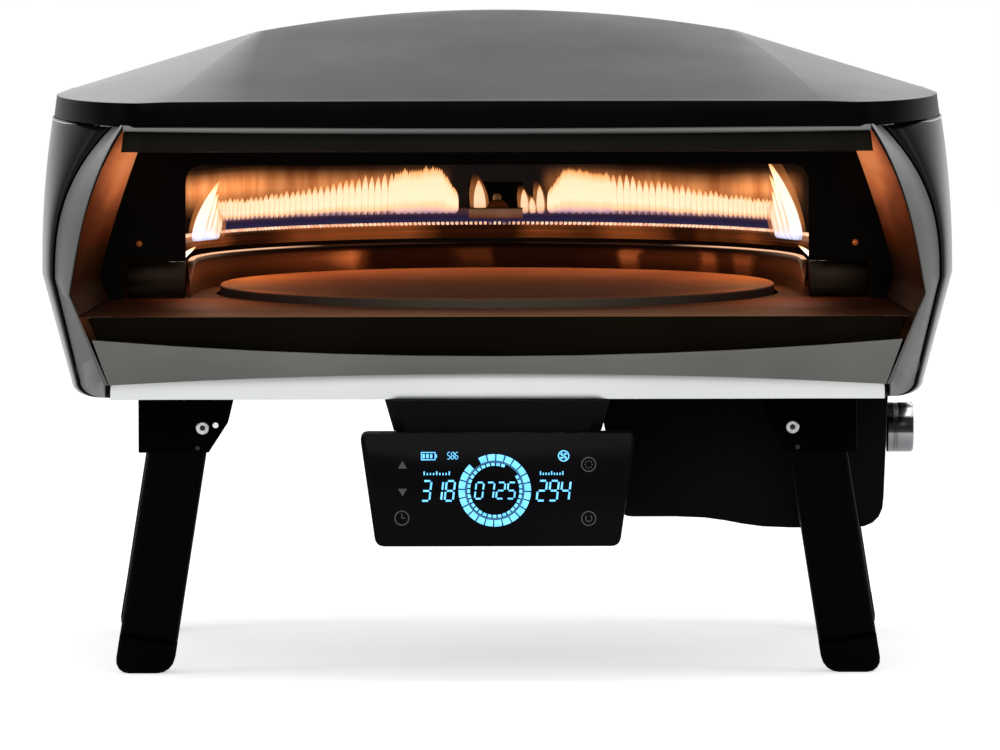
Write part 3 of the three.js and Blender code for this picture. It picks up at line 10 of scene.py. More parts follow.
import bmesh
import bpy
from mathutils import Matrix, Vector


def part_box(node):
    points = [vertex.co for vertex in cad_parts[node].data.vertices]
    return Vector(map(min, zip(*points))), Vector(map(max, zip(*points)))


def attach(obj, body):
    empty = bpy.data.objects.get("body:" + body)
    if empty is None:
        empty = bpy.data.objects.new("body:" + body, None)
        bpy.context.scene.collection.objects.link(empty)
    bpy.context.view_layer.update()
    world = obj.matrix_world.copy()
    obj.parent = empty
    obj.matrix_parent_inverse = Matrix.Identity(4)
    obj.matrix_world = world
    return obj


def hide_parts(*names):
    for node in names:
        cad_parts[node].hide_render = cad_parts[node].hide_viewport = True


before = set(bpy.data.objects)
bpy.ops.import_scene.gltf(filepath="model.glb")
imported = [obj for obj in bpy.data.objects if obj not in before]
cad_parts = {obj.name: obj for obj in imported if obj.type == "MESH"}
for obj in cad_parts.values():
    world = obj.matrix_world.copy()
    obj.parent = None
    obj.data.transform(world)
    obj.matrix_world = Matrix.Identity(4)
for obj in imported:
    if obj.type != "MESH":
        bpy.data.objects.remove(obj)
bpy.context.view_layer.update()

MM = 0.001
QUARTER_TURN = math.pi / 2
HALF_TURN = math.pi
FULL_TURN = math.tau
UP = (0, 0, 1)
ROOT = "oven"
MATERIALS = {}

# Camera
CAMERA_ELEVATION = 3.6
CAMERA_DISTANCE = 10000
CAMERA_TARGET_Z = 203.7
CAMERA_LENS = 487.4
CAMERA_SENSOR = 36
CAMERA_ROLL = 0.12
CAMERA_SHIFT = 0.0043

# Body levels and widths, as in the model
FRONT_Y = -300
REAR_Y = 300
HALF_WIDTH = 330.5
TRAY_Z = 204
RIM_Z = 402.5
DECK_Z = 264
SEAT_GAP = 0.3
WAIST_Z = RIM_Z - 112
SHELL_LEAN = 7.7
LEAN_POWER = 2.3
SHELL_TUCK = 21.2
FOOT_TURN = 10
FOOT_TURN_RISE = 8
FRONT_RUN = 122
REAR_RUN = 150
REAR_INSET = 75
SHELL_SHEET = 1.2
SHEET_EDGE = 0.3

# Mouth frame
FLANK_DEPTH = 38
FLANK_INSET = 12.5
FLANK_CROWN = 44.8
FLANK_POWER = 2.6
FLANK_TUCK = 17.8
FLANK_TURN = 18
FLANK_TURN_RISE = 12
FRAME_GROOVE = 1.5
LIP_CORNER_HALF = HALF_WIDTH - 23
LIP_CORNER_Z = WAIST_Z - 10
LIP_CROWN = 38.6
LIP_BEND_SHARE = 0.5
LIP_TUCK = 25.5
LIP_FOOT_Z = TRAY_Z + 11.5
LIP_TURN_SHARE = 0.18
LIP_FACE = 3
LIP_FACE_TOP = 0.8
TRIM_TOP_Z = 399.4
TRIM_BOW = 2.6
TRIM_RISE = 4.4
TRIM_DEPTH = 9
RIM_LINE_HEIGHT = 0.9
RIM_LINE_PROUD = 0.35
RIM_LINE_SAG = 1.9
RIM_LINE_POINTS = 17

# Mouth liner
LINER_BACK_Y = -81
LINER_BACK_HALF = 291
LINER_LEAN = 28
LINER_POWER = 1.2
LINER_TOP = 92
LINER_FOOT_INSET = 6
LINER_SHEET = 1
LINER_EDGE = 0.2
PANEL_GAP = 0.5
TOP_BAR_HEIGHT = 3.5
CHEEK_FOOT_Z = 246
CHEEK_FOOT_INSET = 16
CHEEK_FOOT_Y = -262
DECK_SIDE_WIDTH = 24
DECK_SIDE_TUCK = 1.4
DECK_SIDE_RISE = 0.24
CHEEK_SEAL_HALF_WIDTH = 5
CHEEK_SEAL_HEIGHT = 46
HEADER_TOP_DROP = 0.5
HEADER_END_WIDTH = 12
HEADER_END_REACH = 2
HEADER_END_PROUD = 0.4
HEADER_LOW_Z = RIM_Z - 20.4

# Chamber and stone
CHAMBER_HALF = 283
CHAMBER_RISE = 108
STONE_Y = 20
STONE_RADIUS = 205
STONE_THICKNESS = 15
STONE_RISE = 7
STONE_EDGE = 1.8
STONE_RING_SHARES = (0.75, 0.5, 0.25)
AXIS_RADIUS = 0.01

# Flame guard, and how bright its painted reflections of the flames are at shares of its width and height
GUARD_RADIUS = 222
GUARD_HEIGHT = 25
GUARD_FLARE = 5.5
GUARD_ROLL = 3.2
GUARD_FRONT_Y = -46
GUARD_FOOT_FLARE = 3.5
GUARD_LEAST_SHARE = 0.2
GUARD_PATCHES = [
    (0.03, 0.45), (0.1, 0.3), (0.17, 0.42), (0.23, 0.6), (0.275, 1.0), (0.295, 0.5), (0.31, 0.14),
    (0.42, 0.12), (0.445, 0.3), (0.49, 0.34), (0.5, 0.08), (0.62, 0.1), (0.69, 0.22), (0.7, 0.75),
    (0.722, 0.72), (0.73, 0.28), (0.81, 0.34), (0.82, 0.68), (0.838, 0.66), (0.848, 0.26),
    (0.866, 0.3), (0.874, 0.6), (0.894, 0.62), (0.905, 0.22), (0.97, 0.42),
]
GUARD_LEVELS = [(0.0, 0.35), (0.35, 0.7), (0.6, 1.0), (0.78, 0.85), (0.86, 0.2), (0.92, 0.03)]

# Burner, probe and igniter
BURNER_RADIUS = 240
BURNER_TUBE = 5.4
BURNER_Z = DECK_Z + 33
BURNER_LEG_Y = -38
PORT_PITCH = 3.6
PORT_HEIGHT = 1.4
PORT_REACH = 2.6
PORT_SINK = 0.3
PORT_WIDTH_SHARE = 0.27
PORT_TOP_SHARE = 0.6
PROBE_KNOTS = [
    (262.5, -38, 318), (262, -40, 324), (258, -44, 327), (250, -48, 326), (244, -50, 321),
    (241, -50, 314), (242, -50, 308),
]
PROBE_RADIUS = 1.1
PROBE_GUIDE = (0.31, 0.17, 0.93)
SHELF_LOW_Z = 307
SHELF_TOP_Z = 314.6
SHELF_PROUD = 0.2
SHELF_SHEET = 1.4
SHELF_EDGE = 0.4
SHIELD_X = 0.4
SHIELD_HALF = 8.2
SHIELD_RISE = 6.4
SHIELD_BACK = 1

# Flames
FLAME_PITCH = 5.4
FLAME_LIFT = 6.5
FLAME_END_MARGIN = 4
FLAME_GAP = (-30, 38)
FLAME_REACH = 216
FLAME_SEED = 7
FLAME_REAR_Y = STONE_Y + 60
FLAME_LOW = 14
FLAME_BASE = 17
FLAME_PEAK = 19
FLAME_PEAK_HALF = 55
FLAME_PEAK_RUN = 130
BANK_END_RUN = 24
BANK_END_SHARE = 0.45
BANK_END_WIDTH = 48
NEAR_WIDTH_SHARE = 1.3
FAR_WIDTH_SHARE = 0.94
BETWEEN_BACK = 2
BETWEEN_RISE = 1.5
BETWEEN_WIDTH_SHARE = 0.8
HAZE_BACK = 3
HAZE_HEIGHT_SHARE = 1.12
HAZE_WIDTH_SHARE = 1.6
ROOT_DROP = 1
ROOT_WIDTH = 3.9
ROOT_HEIGHT_SHARE = 1.9
TONGUE_TIP = 0.05
END_HEIGHTS = ((-1, 45), (1, 61))
END_SHARES_AND_WIDTHS = ((1, 8.5), (0.78, 9.5), (0.58, 11), (0.46, 11), (0.38, 11))
END_INSET = 19
END_STEP = 2.6
END_FRONT_Y = -30
END_STEP_Y = 7
END_LIFT = 1
END_LEAN_SHARE = 0.38
END_LEAN_BACK = 4
END_HAZE_SHARE = 1.2
LICK_Y = -40
LICKS = ((6, 15, 13, 5, 13), (1, 12, 12, 4, 4))
IGNITER_FLAMES = ((-13, 26, 9), (21, 19, 6), (27, 13, 5), (33, 22, 6))
IGNITER_LIFT = 6
IGNITER_LEAN = (-1, -2, 0)
IGNITER_HAZE_LEAN = (-4, -2, 0)
IGNITER_HAZE_SHARE = 1.25
PILOTS_X = (-5, 7)
PILOT_INSET = 4
PILOT_DROP = 2
PILOT_HEIGHT = 7
PILOT_WIDTH = 5

# Cover
SKIRT_HEIGHT = 15.5
SKIRT_FLARE = 2
COVER_HALF = 320
COVER_DEPTH = 302
COVER_CORNER_WIDTH = 72
COVER_FRONT_CORNER = 165
COVER_REAR_CORNER = 100
COVER_FALL = 13
COVER_FALL_START = COVER_FRONT_CORNER - COVER_DEPTH
COVER_FRONT_DIP = 2.2
COVER_DIP_RUN = 40
COVER_EDGE = 0.6
CREASE_HALF = 173
CREASE_SPREAD = 62
CREASE_RISE = 40.5
FOLD_LEAST = 2.5
FOLD_INNER = 52
FOLD_OUTER = 34
FOLD_OUTER_POWER = 5
COVER_RISE = 71.2
CROWN_POWER = 1.3
EDGE_CROWN_SHARE = 0.02
FACET_STEPS = 5
CROWN_STEPS = 14

# Legs
LEG_Y = 190
REAR_SPREAD = 7
LEGS = {
    "front_left": (-1, -LEG_Y, 0), "front_right": (1, -LEG_Y, 0),
    "rear_left": (-1, LEG_Y, REAR_SPREAD), "rear_right": (1, LEG_Y, REAR_SPREAD),
}
PIVOT_HALF = 213.4
PIVOT_Z = TRAY_Z - 25
LEG_WIDTH = 42
LEG_DEPTH = 30
LEG_ROUNDING = 6
LEG_OFFSET = 15.6
LEG_SPLAY = math.radians(8.9)
LEG_HEAD = 13
LEG_HEEL = 14
LEG_HEEL_STEP = 4
FOOT_HEIGHT = 25
FOOT_CORNER = 11
FOOT_OVERLAP = 0.1
BRACKET_OUTER = 259.8
BRACKET_SHEET = 2.5
BRACKET_FRONT = LEG_Y + 19.3

# Screws: (radius, depth) rings of a pivot bolt's head and of its socket, and (radius, rise) of domes
BOLT_RINGS = [(5.0, 3.0), (5.0, 1.2), (4.7, 0.5), (4.1, 0.1), (3.3, 0.0)]
BOLT_SEGMENTS = 36
BOLT_PROUD = 3.0
SOCKET_HALF = 2.2
SOCKET_DEPTHS = (0.1, 1.6)
SOCKET_RADIUS = 2.3
SOCKET_FLOOR = 1.0
SOCKET_SHEET = 0.3
SCREW_SEAT = 0.6
SCREW_RISE_START = 0.1
SCREW_TIP = 0.05
ARCH_SCREW = (2.2, 1.0)
ARCH_SCREW_HALF = 262
ARCH_SCREW_Z = 305.6
BRACKET_SCREW = (1.9, 0.9)
BRACKET_SCREW_HALF = 217
BRACKET_SCREW_Z = TRAY_Z - 39.5
LOCK_PIN = (2.3, 0.4)
LOCK_HALF = 204
LOCK_Z = 181
REAR_SCREW = (2.4, 1.1)
REAR_SCREW_INSET = 14
REAR_SCREW_SHARES = (0.18, 0.5, 0.82)

# Knob: (how far in from its radius, how far from its near or far end)
KNOB_Z = TRAY_Z - 39.5
KNOB_RADIUS = 18.5
KNOB_AXIS_RADIUS = 0.05
KNOB_NEAR_EDGE = [(1.5, 0), (0.6, 0.4), (0, 1.2)]
KNOB_FAR_EDGE = [(0, 2.6), (0.5, 1.2), (1.6, 0.3), (2.6, 0), (5, 0.5)]
KNOB_DISH_SHARE = 0.4
KNOB_DISH = 0.8
KNOB_GROOVES = (5.4, 6.6, 7.8)
KNOB_GROOVE = [(0, -0.5), (0.45, -0.2), (0.45, 0.2), (0, 0.5)]
KNOB_FACE_TURN = 0.8
KNOB_MARK = [(0.5, 6), (0.5, 1.1), (0.1, 1.1), (0, 6)]
KNOB_MARK_HALF = 1.1

# Display: the photograph's point that has x = 0, its scale, and marks placed by the photograph's points
PHOTO_POINT = (499, 375)
PHOTO_POINT_Z = 222.58
PHOTO_SCALE = (1.3958, 1.393)
MARK_Y = -300.35
MARK_THICKNESS = 0.4
DIGIT_SLANT = 0.12
DIGIT_GAP_SHARE = 0.62
DIGIT_WIDTH_SHARE = 2.4
DIGIT_BARS = {
    "0": "abcdef", "1": "bc", "2": "abged", "3": "abgcd", "4": "fgbc",
    "5": "afgcd", "6": "afgedc", "7": "abc", "8": "abcdefg", "9": "abcdfg",
}
# What it says, its middle, its full width, its height and its stroke
NUMBERS = [
    ("318", (439.3, 490.8), 24.6, 14.2, 1.35), ("0725", (496.6, 490.6), 29.8, 11.6, 1.2),
    ("294", (555, 490.8), 24.6, 14.2, 1.35), ("586", (454, 455.6), 8.2, 4.8, 0.55),
]
DIAL = (496, 490.4)
# Inner and outer radius; first, last, pitch, start and end of the bars in degrees; strips in each
DIAL_BARS = [(21.4, 26.0, range(-28, 312, 15), 1.1, 13.9, 4), (17.7, 19.8, range(54, 384, 11), 1.5, 9.5, 3)]
DIAL_LINE = (20.2, 21.1)
DIAL_STRIPS = 64
SCALES = [((438, 472), 18), ((553, 472), 16)]
SCALE_BARS = 9
SCALE_DROP = 2.2
SCALE_HIGH = 2.7
SCALE_LOW = 1.6
SCALE_STROKE = 0.9
ARROWS = [((403.7, 465), 1), ((403.7, 492), -1)]
ARROW_HALF = 3.2
ARROW_FOOT = 2.4
ARROW_TIP = 3
CLOCK = (403, 518)
TURN_MARK = (590, 518.7)
DOT_MARK = (590, 464.6)
BUTTON_RING = (4.6, 5.4)
BUTTON_STRIPS = 32
CLOCK_HANDS = ((0, 3.4), (2.4, 0))
HAND_STROKE = 0.7
TURN_RING = (1.9, 2.6)
TURN_ARC = (30, 320)
TURN_STRIPS = 20
DOT_REACH = 2.6
DOT_RING = (0.02, 0.5)
DOT_STRIPS = 8
BATTERY = (430, 456)
# Two ends of each bar of the battery sign, and its stroke
BATTERY_BARS = [
    ((-5.2, -2.6), (4.6, -2.6), 0.7), ((-5.2, 2.6), (4.6, 2.6), 0.7), ((-5.2, -2.9), (-5.2, 2.9), 0.7),
    ((4.6, -2.9), (4.6, 2.9), 0.7), ((5.5, -1.2), (5.5, 1.2), 0.8), ((-3.6, -1.5), (-3.6, 1.5), 1.7),
    ((-0.9, -1.5), (-0.9, 1.5), 1.7), ((1.8, -1.5), (1.8, 1.5), 1.7),
]
FAN = (565, 456)
FAN_HUB = (0.02, 0.6)
FAN_HUB_STRIPS = 12
FAN_RIM = (3.3, 4.1)
FAN_BLADES = 4
FAN_SWEEPS = 3
FAN_REACH = 0.8
FAN_STEP = 0.65
FAN_BLADE = 0.7
FAN_TURN = 14
FAN_ARC = 50
FAN_ARC_LOSS = 4
FAN_STRIPS = 6

# Light: lamps as place, target, size and watts
WORLD_LIGHT = 0.5
FLOOR_HALF = 40000
FLOOR_GREY = 0.9
FLOOR_LIFT = 0.56
SOFTBOXES = {
    "softbox_top": ((0, -300, 2700), (0, 0, 200), (2600, 2200), 20),
    "softbox_left": ((-2300, -900, 900), (0, 0, 250), (900, 1700), 10),
    "softbox_right": ((2300, -900, 900), (0, 0, 250), (900, 1700), 10),
    "softbox_front": ((0, -3300, 1300), (0, 0, 220), (2400, 900), 20),
    "softbox_back_-1": ((-1300, 2700, 1750), (0, 0, 420), (1500, 800), 6),
    "softbox_back_1": ((1300, 2700, 1750), (0, 0, 420), (1500, 800), 6),
}
FIRE_WATTS = 0.07
FIRE_COLOUR = (1.0, 0.36, 0.1)
GLOW_ANGLES = (18, 54, 90, 126, 162)
GLOW_RADIUS = BURNER_RADIUS - 12
GLOW_Z = 322
GLOW_AIM_SHARE = 0.3
GLOW_AIM_Y = -60
GLOW_AIM_Z = 262
GLOW_SIZE = (120, 22)
CHEEK_GLOW_PLACE = (205, -60, 335)
CHEEK_GLOW_AIM = (300, -210, 300)
CHEEK_GLOW_SIZE = (50, 40)

# Smoothing
SMOOTH_ANGLE = 32
WELD_REACH = 0.01
BEVEL_SEGMENTS = 2

# Looks of the bodies that stay as they are, and how far their edges are softened
NODE_LOOKS = {
    "rear_panel": ("shell", 0.6), "base_tray": ("tray", 0.5), "chin_panel": ("chin", 0.6),
    "mouth_header": ("header", 0.5), "floor_apron": ("apron", 0.5), "oven_floor": ("deck", 0.2),
    "chamber_wall": ("wall", 0), "chamber_roof": ("wall", 0), "chamber_arch": ("heat", 0.5),
    "wall_insulation": ("wool", 0), "roof_insulation": ("wool", 0),
    "stone_carrier": ("dark_steel", 0.6), "turntable_shaft": ("bright_steel", 0),
    "shaft_bush": ("brass", 0), "gear_motor": ("dark_steel", 1),
    "burner_box_left": ("dark_steel", 0.4), "burner_box_right": ("dark_steel", 0.4),
    "igniter_bracket": ("heat", 0.3), "igniter": ("ceramic", 0.2), "flame_probe": ("bright_steel", 0.2),
    "gas_pipe": ("bright_steel", 0), "display_arm": ("plastic", 0.6), "display_board": ("board", 0),
    "control_housing": ("plastic", 1.2), "battery_pack": ("plastic", 1), "battery_door": ("plastic", 0.6),
    "gas_valve": ("brass", 0.4), "gas_inlet": ("brass", 0.3), "knob_slider": ("bright_steel", 0),
    "valve_spindle": ("bright_steel", 0), "display_shell": ("plastic", 1.2),
    "display_glass": ("window", 0.5),
}
NODE_LOOKS.update({f"leg_bracket_{place}": ("bracket", 0.5) for place in LEGS})

# Where looks and painted light and shade change, and how deep their relief is
LID_DARK_Z = RIM_Z + 20
LID_SIDE_HALF = 200
DECK_SHADOW = (205, 262)
FRAME_LIGHT_Z = 330
TRAY_FRONT = 1.2
DARKENING_RUN = 1.5
FIRELIGHT_Z = (288, 370)
FIRELIGHT_Y = (-298, -165)
GUARD_PATCH_HALF = 240
GUARD_SIDE = (130, 170)
GUARD_LIP_BAND = (1.1, 0.5)
STONE_SIDE = 60
STONE_BACK_SHARE = 0.7
STONE_RIM_SHADE = (60, 190)
STONE_TOP_BAND = (1.6, 0.4)
SKIN_DEPTH = 0.4
STREAK_DEPTH = 0.3
MARK_DEPTH = 0.2
PIT_DEPTH = 0.5
FIBRE_DEPTH = 1

# Paints: name, dark and light colour or grey, roughness, grain, relief and gloss
PAINTS = {
    "shell": ("shell_paint_black", (0.003, 0.003, 0.0035), (0.005, 0.005, 0.0055), 0.2, 600, 0.03, 0.07),
    "chin": ("chin_paint_grey", (0.105, 0.107, 0.098), (0.135, 0.137, 0.126), 0.45, 900, 0.06, 0.25),
    "heat": ("heat_paint_black", (0.003, 0.003, 0.002), (0.006, 0.005, 0.004), 0.6, 1100, 0.1, 0.03),
    "header": ("header_paint_black", (0.005, 0.0042, 0.0026), (0.01, 0.0085, 0.0055), 0.55, 1100, 0.1, 0.04),
    "apron": ("apron_paint_black", (0.0024, 0.0014, 0.0004), (0.0045, 0.003, 0.0012), 0.6, 1100, 0.1, 0.02),
    "skirt": ("skirt_paint_black", (0.0004, 0.0004, 0.0005), (0.0009, 0.0009, 0.001), 0.3, 700, 0.03, 0.015),
    # The rim line's light grey is a painted highlight.
    "rim_line": ("rim_line_steel", 0.4, 0.6, 0.3, 600, 0.02, 0.4),
    "plastic": ("housing_plastic", (0.0015, 0.0015, 0.0017), (0.003, 0.003, 0.0033), 0.5, 1500, 0.12, 0.03),
    "window": ("window_black", (0.001, 0.001, 0.0015), (0.002, 0.002, 0.0028), 0.12, 300, 0.01, 0.03),
    "leg": ("leg_black", (0.0006, 0.0006, 0.0007), (0.0012, 0.0012, 0.0014), 0.4, 1100, 0.08, 0.012),
    "bracket": ("bracket_black", 0.0003, (0.0007, 0.0007, 0.0008), 0.45, 1000, 0.07, 0.006),
    "rubber": ("foot_rubber", 0.0006, 0.0014, 0.7, 500, 0.2, 0.012),
    "ceramic": ("igniter_ceramic", (0.5, 0.36, 0.26), (0.62, 0.48, 0.36), 0.35, 400, 0.08, 0.5),
    "board": ("circuit_board", (0.01, 0.07, 0.03), (0.02, 0.1, 0.05), 0.5, 300, 0.2, 0.5),
}
# Metals: name, dark and light colour or grey, roughness, stretch and scale of the streaks, and relief
METALS = {
    "liner_foot": ("liner_foot_steel", (0.1, 0.032, 0.013), (0.2, 0.07, 0.03), 0.4, (1, 1, 4), 9, 0.02),
    "dark_steel": ("dark_steel", (0.01, 0.006, 0.004), (0.026, 0.018, 0.012), 0.42, (1, 1, 8), 20, 0.04),
    "bright_steel": ("bright_steel", (0.5, 0.51, 0.52), (0.66, 0.66, 0.67), 0.25, (30, 30, 1), 40, 0.04),
    "bolt": ("bolt_steel", (0.12, 0.12, 0.13), (0.5, 0.5, 0.51), 0.25, (30, 30, 1), 60, 0.04),
    # The dark socket floors are painted shade; the rear screws share this dark look.
    "socket": ("bolt_socket_dark", 0.01, 0.03, 0.5, (30, 30, 1), 40, 0.04),
    # The shelf's bright copper is painted firelight.
    "lit_plate": ("shelf_steel", (0.34, 0.16, 0.08), (0.7, 0.42, 0.27), 0.4, (3, 1, 1), 12, 0.04),
    "brass": ("valve_brass", (0.55, 0.4, 0.16), (0.7, 0.54, 0.26), 0.3, (1, 20, 1), 40, 0.04),
}
TRAY_METAL = ("tray_steel", (0.53, 0.545, 0.54), (0.57, 0.585, 0.58), 0.34, (0.5, 12, 12), 5, 0.006)
# Lit surfaces: name, colour, strength and the colour of their patches; the port edges' glow is painted
# firelight
GLOWS = {
    "ports": ("port_edge_steel", (1.0, 0.72, 0.52), 1.05, (0.8, 0.4, 0.24)),
    "cyan": ("display_blue", (0.17, 0.62, 1.0), 0.95, (0.1, 0.45, 0.9)),
    "dim": ("display_grey", (0.02, 0.02, 0.022), 0.6, (0.014, 0.014, 0.016)),
    "faint": ("display_dark_blue", (0.02, 0.12, 0.24), 0.6, (0.015, 0.09, 0.2)),
}
# Flames: name, strength, and at shares of the height their colour and how solid they look
FLAMES = {
    "flame_core": (
        "flame_core", 1.35, (0.0, (0.5, 0.3, 0.4), 0.4), (0.14, (1.0, 0.54, 0.28), 0.9),
        (0.3, (1.0, 0.7, 0.46), 1.0), (0.72, (1.0, 0.65, 0.4), 0.97), (0.9, (1.0, 0.45, 0.17), 0.6),
        (1.0, (0.9, 0.3, 0.08), 0.0),
    ),
    "flame_hot": (
        "flame_hot", 1.7, (0.0, (0.6, 0.66, 0.95), 0.2), (0.2, (1.0, 0.88, 0.82), 0.9),
        (0.3, (1.0, 0.92, 0.78), 1.0), (0.75, (1.0, 0.84, 0.6), 0.97), (0.92, (1.0, 0.55, 0.22), 0.5),
        (1.0, (0.9, 0.3, 0.08), 0.0),
    ),
    "flame_haze": (
        "flame_haze", 0.9, (0.0, (0.2, 0.06, 0.04), 0.0), (0.2, (0.7, 0.24, 0.07), 0.3),
        (0.6, (0.8, 0.28, 0.08), 0.22), (0.9, (0.6, 0.16, 0.04), 0.0),
    ),
    "flame_root": (
        "flame_root", 0.9, (0.0, (0.035, 0.03, 0.08), 0.4), (0.4, (0.022, 0.014, 0.045), 0.75),
        (0.75, (0.09, 0.04, 0.045), 0.5), (1.0, (0.3, 0.13, 0.1), 0.0),
    ),
}


# Node trees

SOCKETS = {
    "colour": "Base Color", "roughness": "Roughness", "gloss": "Specular IOR Level", "metallic": "Metallic",
    "glow": "Emission Color", "lift": "Emission Strength", "alpha": "Alpha",
}


class Tree:
    """A node tree and the few kinds of node that everything here is made of."""

    def __init__(self, tree, owner=None):
        self.nodes, self.links, self.owner = tree.nodes, tree.links, owner

    def feed(self, socket, value):
        """Links another node's output to a socket, or sets its number or colour."""
        if isinstance(value, bpy.types.NodeSocket):
            self.links.new(value, socket)
        elif socket.type == "RGBA":
            socket.default_value = (*value, 1)
        else:
            socket.default_value = value

    def add(self, kind, inputs=None, **settings):
        node = self.nodes.new(kind)
        for key, value in settings.items():
            setattr(node, key, value)
        for key, value in (inputs or {}).items():
            self.feed(node.inputs[key], value)
        return node

    def place(self, axis):
        """How far a point of the object lies along one of its axes."""
        coordinates = self.add("ShaderNodeTexCoord").outputs["Object"]
        return self.add("ShaderNodeSeparateXYZ", {0: coordinates}).outputs[axis]

    def noise(self, scale, stretch=(1, 1, 1), detail=4.0):
        coordinates = self.add("ShaderNodeTexCoord").outputs["Object"]
        mapping = self.add("ShaderNodeMapping", {"Scale": stretch, "Vector": coordinates})
        inputs = {"Scale": scale, "Detail": detail, "Vector": mapping.outputs["Vector"]}
        return self.add("ShaderNodeTexNoise", inputs).outputs["Fac"]

    def math(self, operation, *values):
        return self.add("ShaderNodeMath", dict(enumerate(values)), operation=operation).outputs[0]

    def sway(self, source, reach):
        """Turns a share into a shift of up to so much each way."""
        return self.math("MULTIPLY_ADD", source, 2 * reach, -reach)

    def level(self, source, from_low, from_high, low=0, high=1):
        inputs = {"Value": source, "From Min": from_low, "From Max": from_high, "To Min": low, "To Max": high}
        return self.add("ShaderNodeMapRange", inputs).outputs["Result"]

    def share(self, source, low, high):
        """0 where a length is at the low end and 1 at the high end, both in millimetres."""
        return self.level(source, low * MM, high * MM)

    def spread(self, source, low, high):
        """Spreads the middle of a noise over a range."""
        return self.level(source, 0.3, 0.7, low, high)

    def ramp(self, source, *stops):
        """Colours, or greys given as one number, at shares of the source."""
        node = self.add("ShaderNodeValToRGB", {"Fac": source})
        elements = node.color_ramp.elements
        elements.remove(elements[0])
        elements[0].position = stops[0][0]
        for place, shade in stops:
            element = elements[0] if place == stops[0][0] else elements.new(place)
            element.color = (*shade, 1) if isinstance(shade, tuple) else (shade, shade, shade, 1)
        return node.outputs["Color"]

    def between(self, source, low, high, start=0.35, end=0.65):
        return self.ramp(source, (start, low), (end, high))

    def mix(self, factor, first, second, blend="MIX"):
        inputs = {"Factor": factor, "A": first, "B": second}
        return self.add("ShaderNodeMix", inputs, data_type="RGBA", blend_type=blend).outputs["Result"]

    def background_rays(self):
        """1 for a ray that should see the plain white background instead of the light on it."""
        rays = self.add("ShaderNodeLightPath").outputs
        mirrored_rays = self.math("MAXIMUM", rays["Is Glossy Ray"], rays["Is Transmission Ray"])
        return self.math("MAXIMUM", rays["Is Camera Ray"], mirrored_rays)

    def finish(self, relief=None, **values):
        """Feeds the surface's own sockets; relief is a source with its strength and its depth."""
        shader = self.nodes["Principled BSDF"]
        for key, value in values.items():
            self.feed(shader.inputs[SOCKETS[key]], value)
        if relief:
            source, strength, depth = relief
            inputs = {"Strength": strength, "Distance": depth * MM, "Height": source}
            self.feed(shader.inputs["Normal"], self.add("ShaderNodeBump", inputs).outputs["Normal"])
        return self.owner


def new_looks(name):
    material = bpy.data.materials.new(name)
    material.use_nodes = True
    return Tree(material.node_tree, material)


# Camera, floor, world and lamps

def new_object(name, data):
    thing = bpy.data.objects.new(name, data)
    bpy.context.scene.collection.objects.link(thing)
    return thing


def make_camera():
    tilt = math.radians(CAMERA_ELEVATION)
    camera = new_object("camera", bpy.data.cameras.new("camera"))
    back = Vector((0, -math.cos(tilt), math.sin(tilt)))
    camera.location = (Vector((0, 0, CAMERA_TARGET_Z)) + back * CAMERA_DISTANCE) * MM
    camera.rotation_euler = (QUARTER_TURN - tilt, math.radians(CAMERA_ROLL), 0)
    camera.data.lens = CAMERA_LENS
    camera.data.sensor_width = CAMERA_SENSOR
    camera.data.shift_x = CAMERA_SHIFT
    camera.data.clip_end = CAMERA_DISTANCE * MM * 4
    bpy.context.scene.camera = camera
    bpy.context.scene.view_settings.view_transform = "Standard"


def make_world():
    world = bpy.data.worlds.new("studio")
    bpy.context.scene.world = world
    world.use_nodes = True
    tree = Tree(world.node_tree)
    tree.nodes.clear()
    ambient = tree.add("ShaderNodeBackground", {"Color": (1, 1, 1), "Strength": WORLD_LIGHT}).outputs[0]
    white = tree.add("ShaderNodeBackground", {"Color": (1, 1, 1), "Strength": 1}).outputs[0]
    inputs = {"Fac": tree.background_rays(), 1: ambient, 2: white}
    tree.add("ShaderNodeOutputWorld", {"Surface": tree.add("ShaderNodeMixShader", inputs).outputs[0]})


def make_floor():
    half = FLOOR_HALF * MM
    mesh = bpy.data.meshes.new("floor")
    corners = [(-half, -half, 0), (half, -half, 0), (half, half, 0), (-half, half, 0)]
    mesh.from_pydata(corners, [], [(0, 1, 2, 3)])
    floor = new_object("floor", mesh)
    looks = new_looks("floor_white")
    lift = looks.math("MULTIPLY", looks.background_rays(), FLOOR_LIFT)
    grey = (FLOOR_GREY, FLOOR_GREY, FLOOR_GREY)
    mesh.materials.append(looks.finish(colour=grey, roughness=1, gloss=0, glow=(1, 1, 1), lift=lift))


def lamp(name, place, target, size, watts, colour=(1, 1, 1)):
    light = bpy.data.lights.new(name, "AREA")
    light.shape = "RECTANGLE"
    light.size, light.size_y = size[0] * MM, size[1] * MM
    light.energy = watts
    light.color = colour
    holder = new_object(name, light)
    holder.location = Vector(place) * MM
    holder.rotation_euler = (Vector(target) - Vector(place)).to_track_quat("-Z", "Y").to_euler()
    return holder


def make_lamps():
    for name, settings in SOFTBOXES.items():
        lamp(name, *settings)
    fires = []
    for number_of, angle in enumerate(GLOW_ANGLES):
        turn = math.radians(angle)
        x, y = GLOW_RADIUS * math.cos(turn), STONE_Y + GLOW_RADIUS * math.sin(turn)
        aim = (x * GLOW_AIM_SHARE, y * GLOW_AIM_SHARE + GLOW_AIM_Y, GLOW_AIM_Z)
        fires.append((f"glow_{number_of}", (x, y, GLOW_Z), aim, GLOW_SIZE))
    for side in (-1, 1):
        place, aim = ((side * x, y, z) for x, y, z in (CHEEK_GLOW_PLACE, CHEEK_GLOW_AIM))
        fires.append((f"glow_cheek_{side}", place, aim, CHEEK_GLOW_SIZE))
    for fire in fires:
        lamp(*fire, FIRE_WATTS, FIRE_COLOUR).visible_glossy = False


# Materials

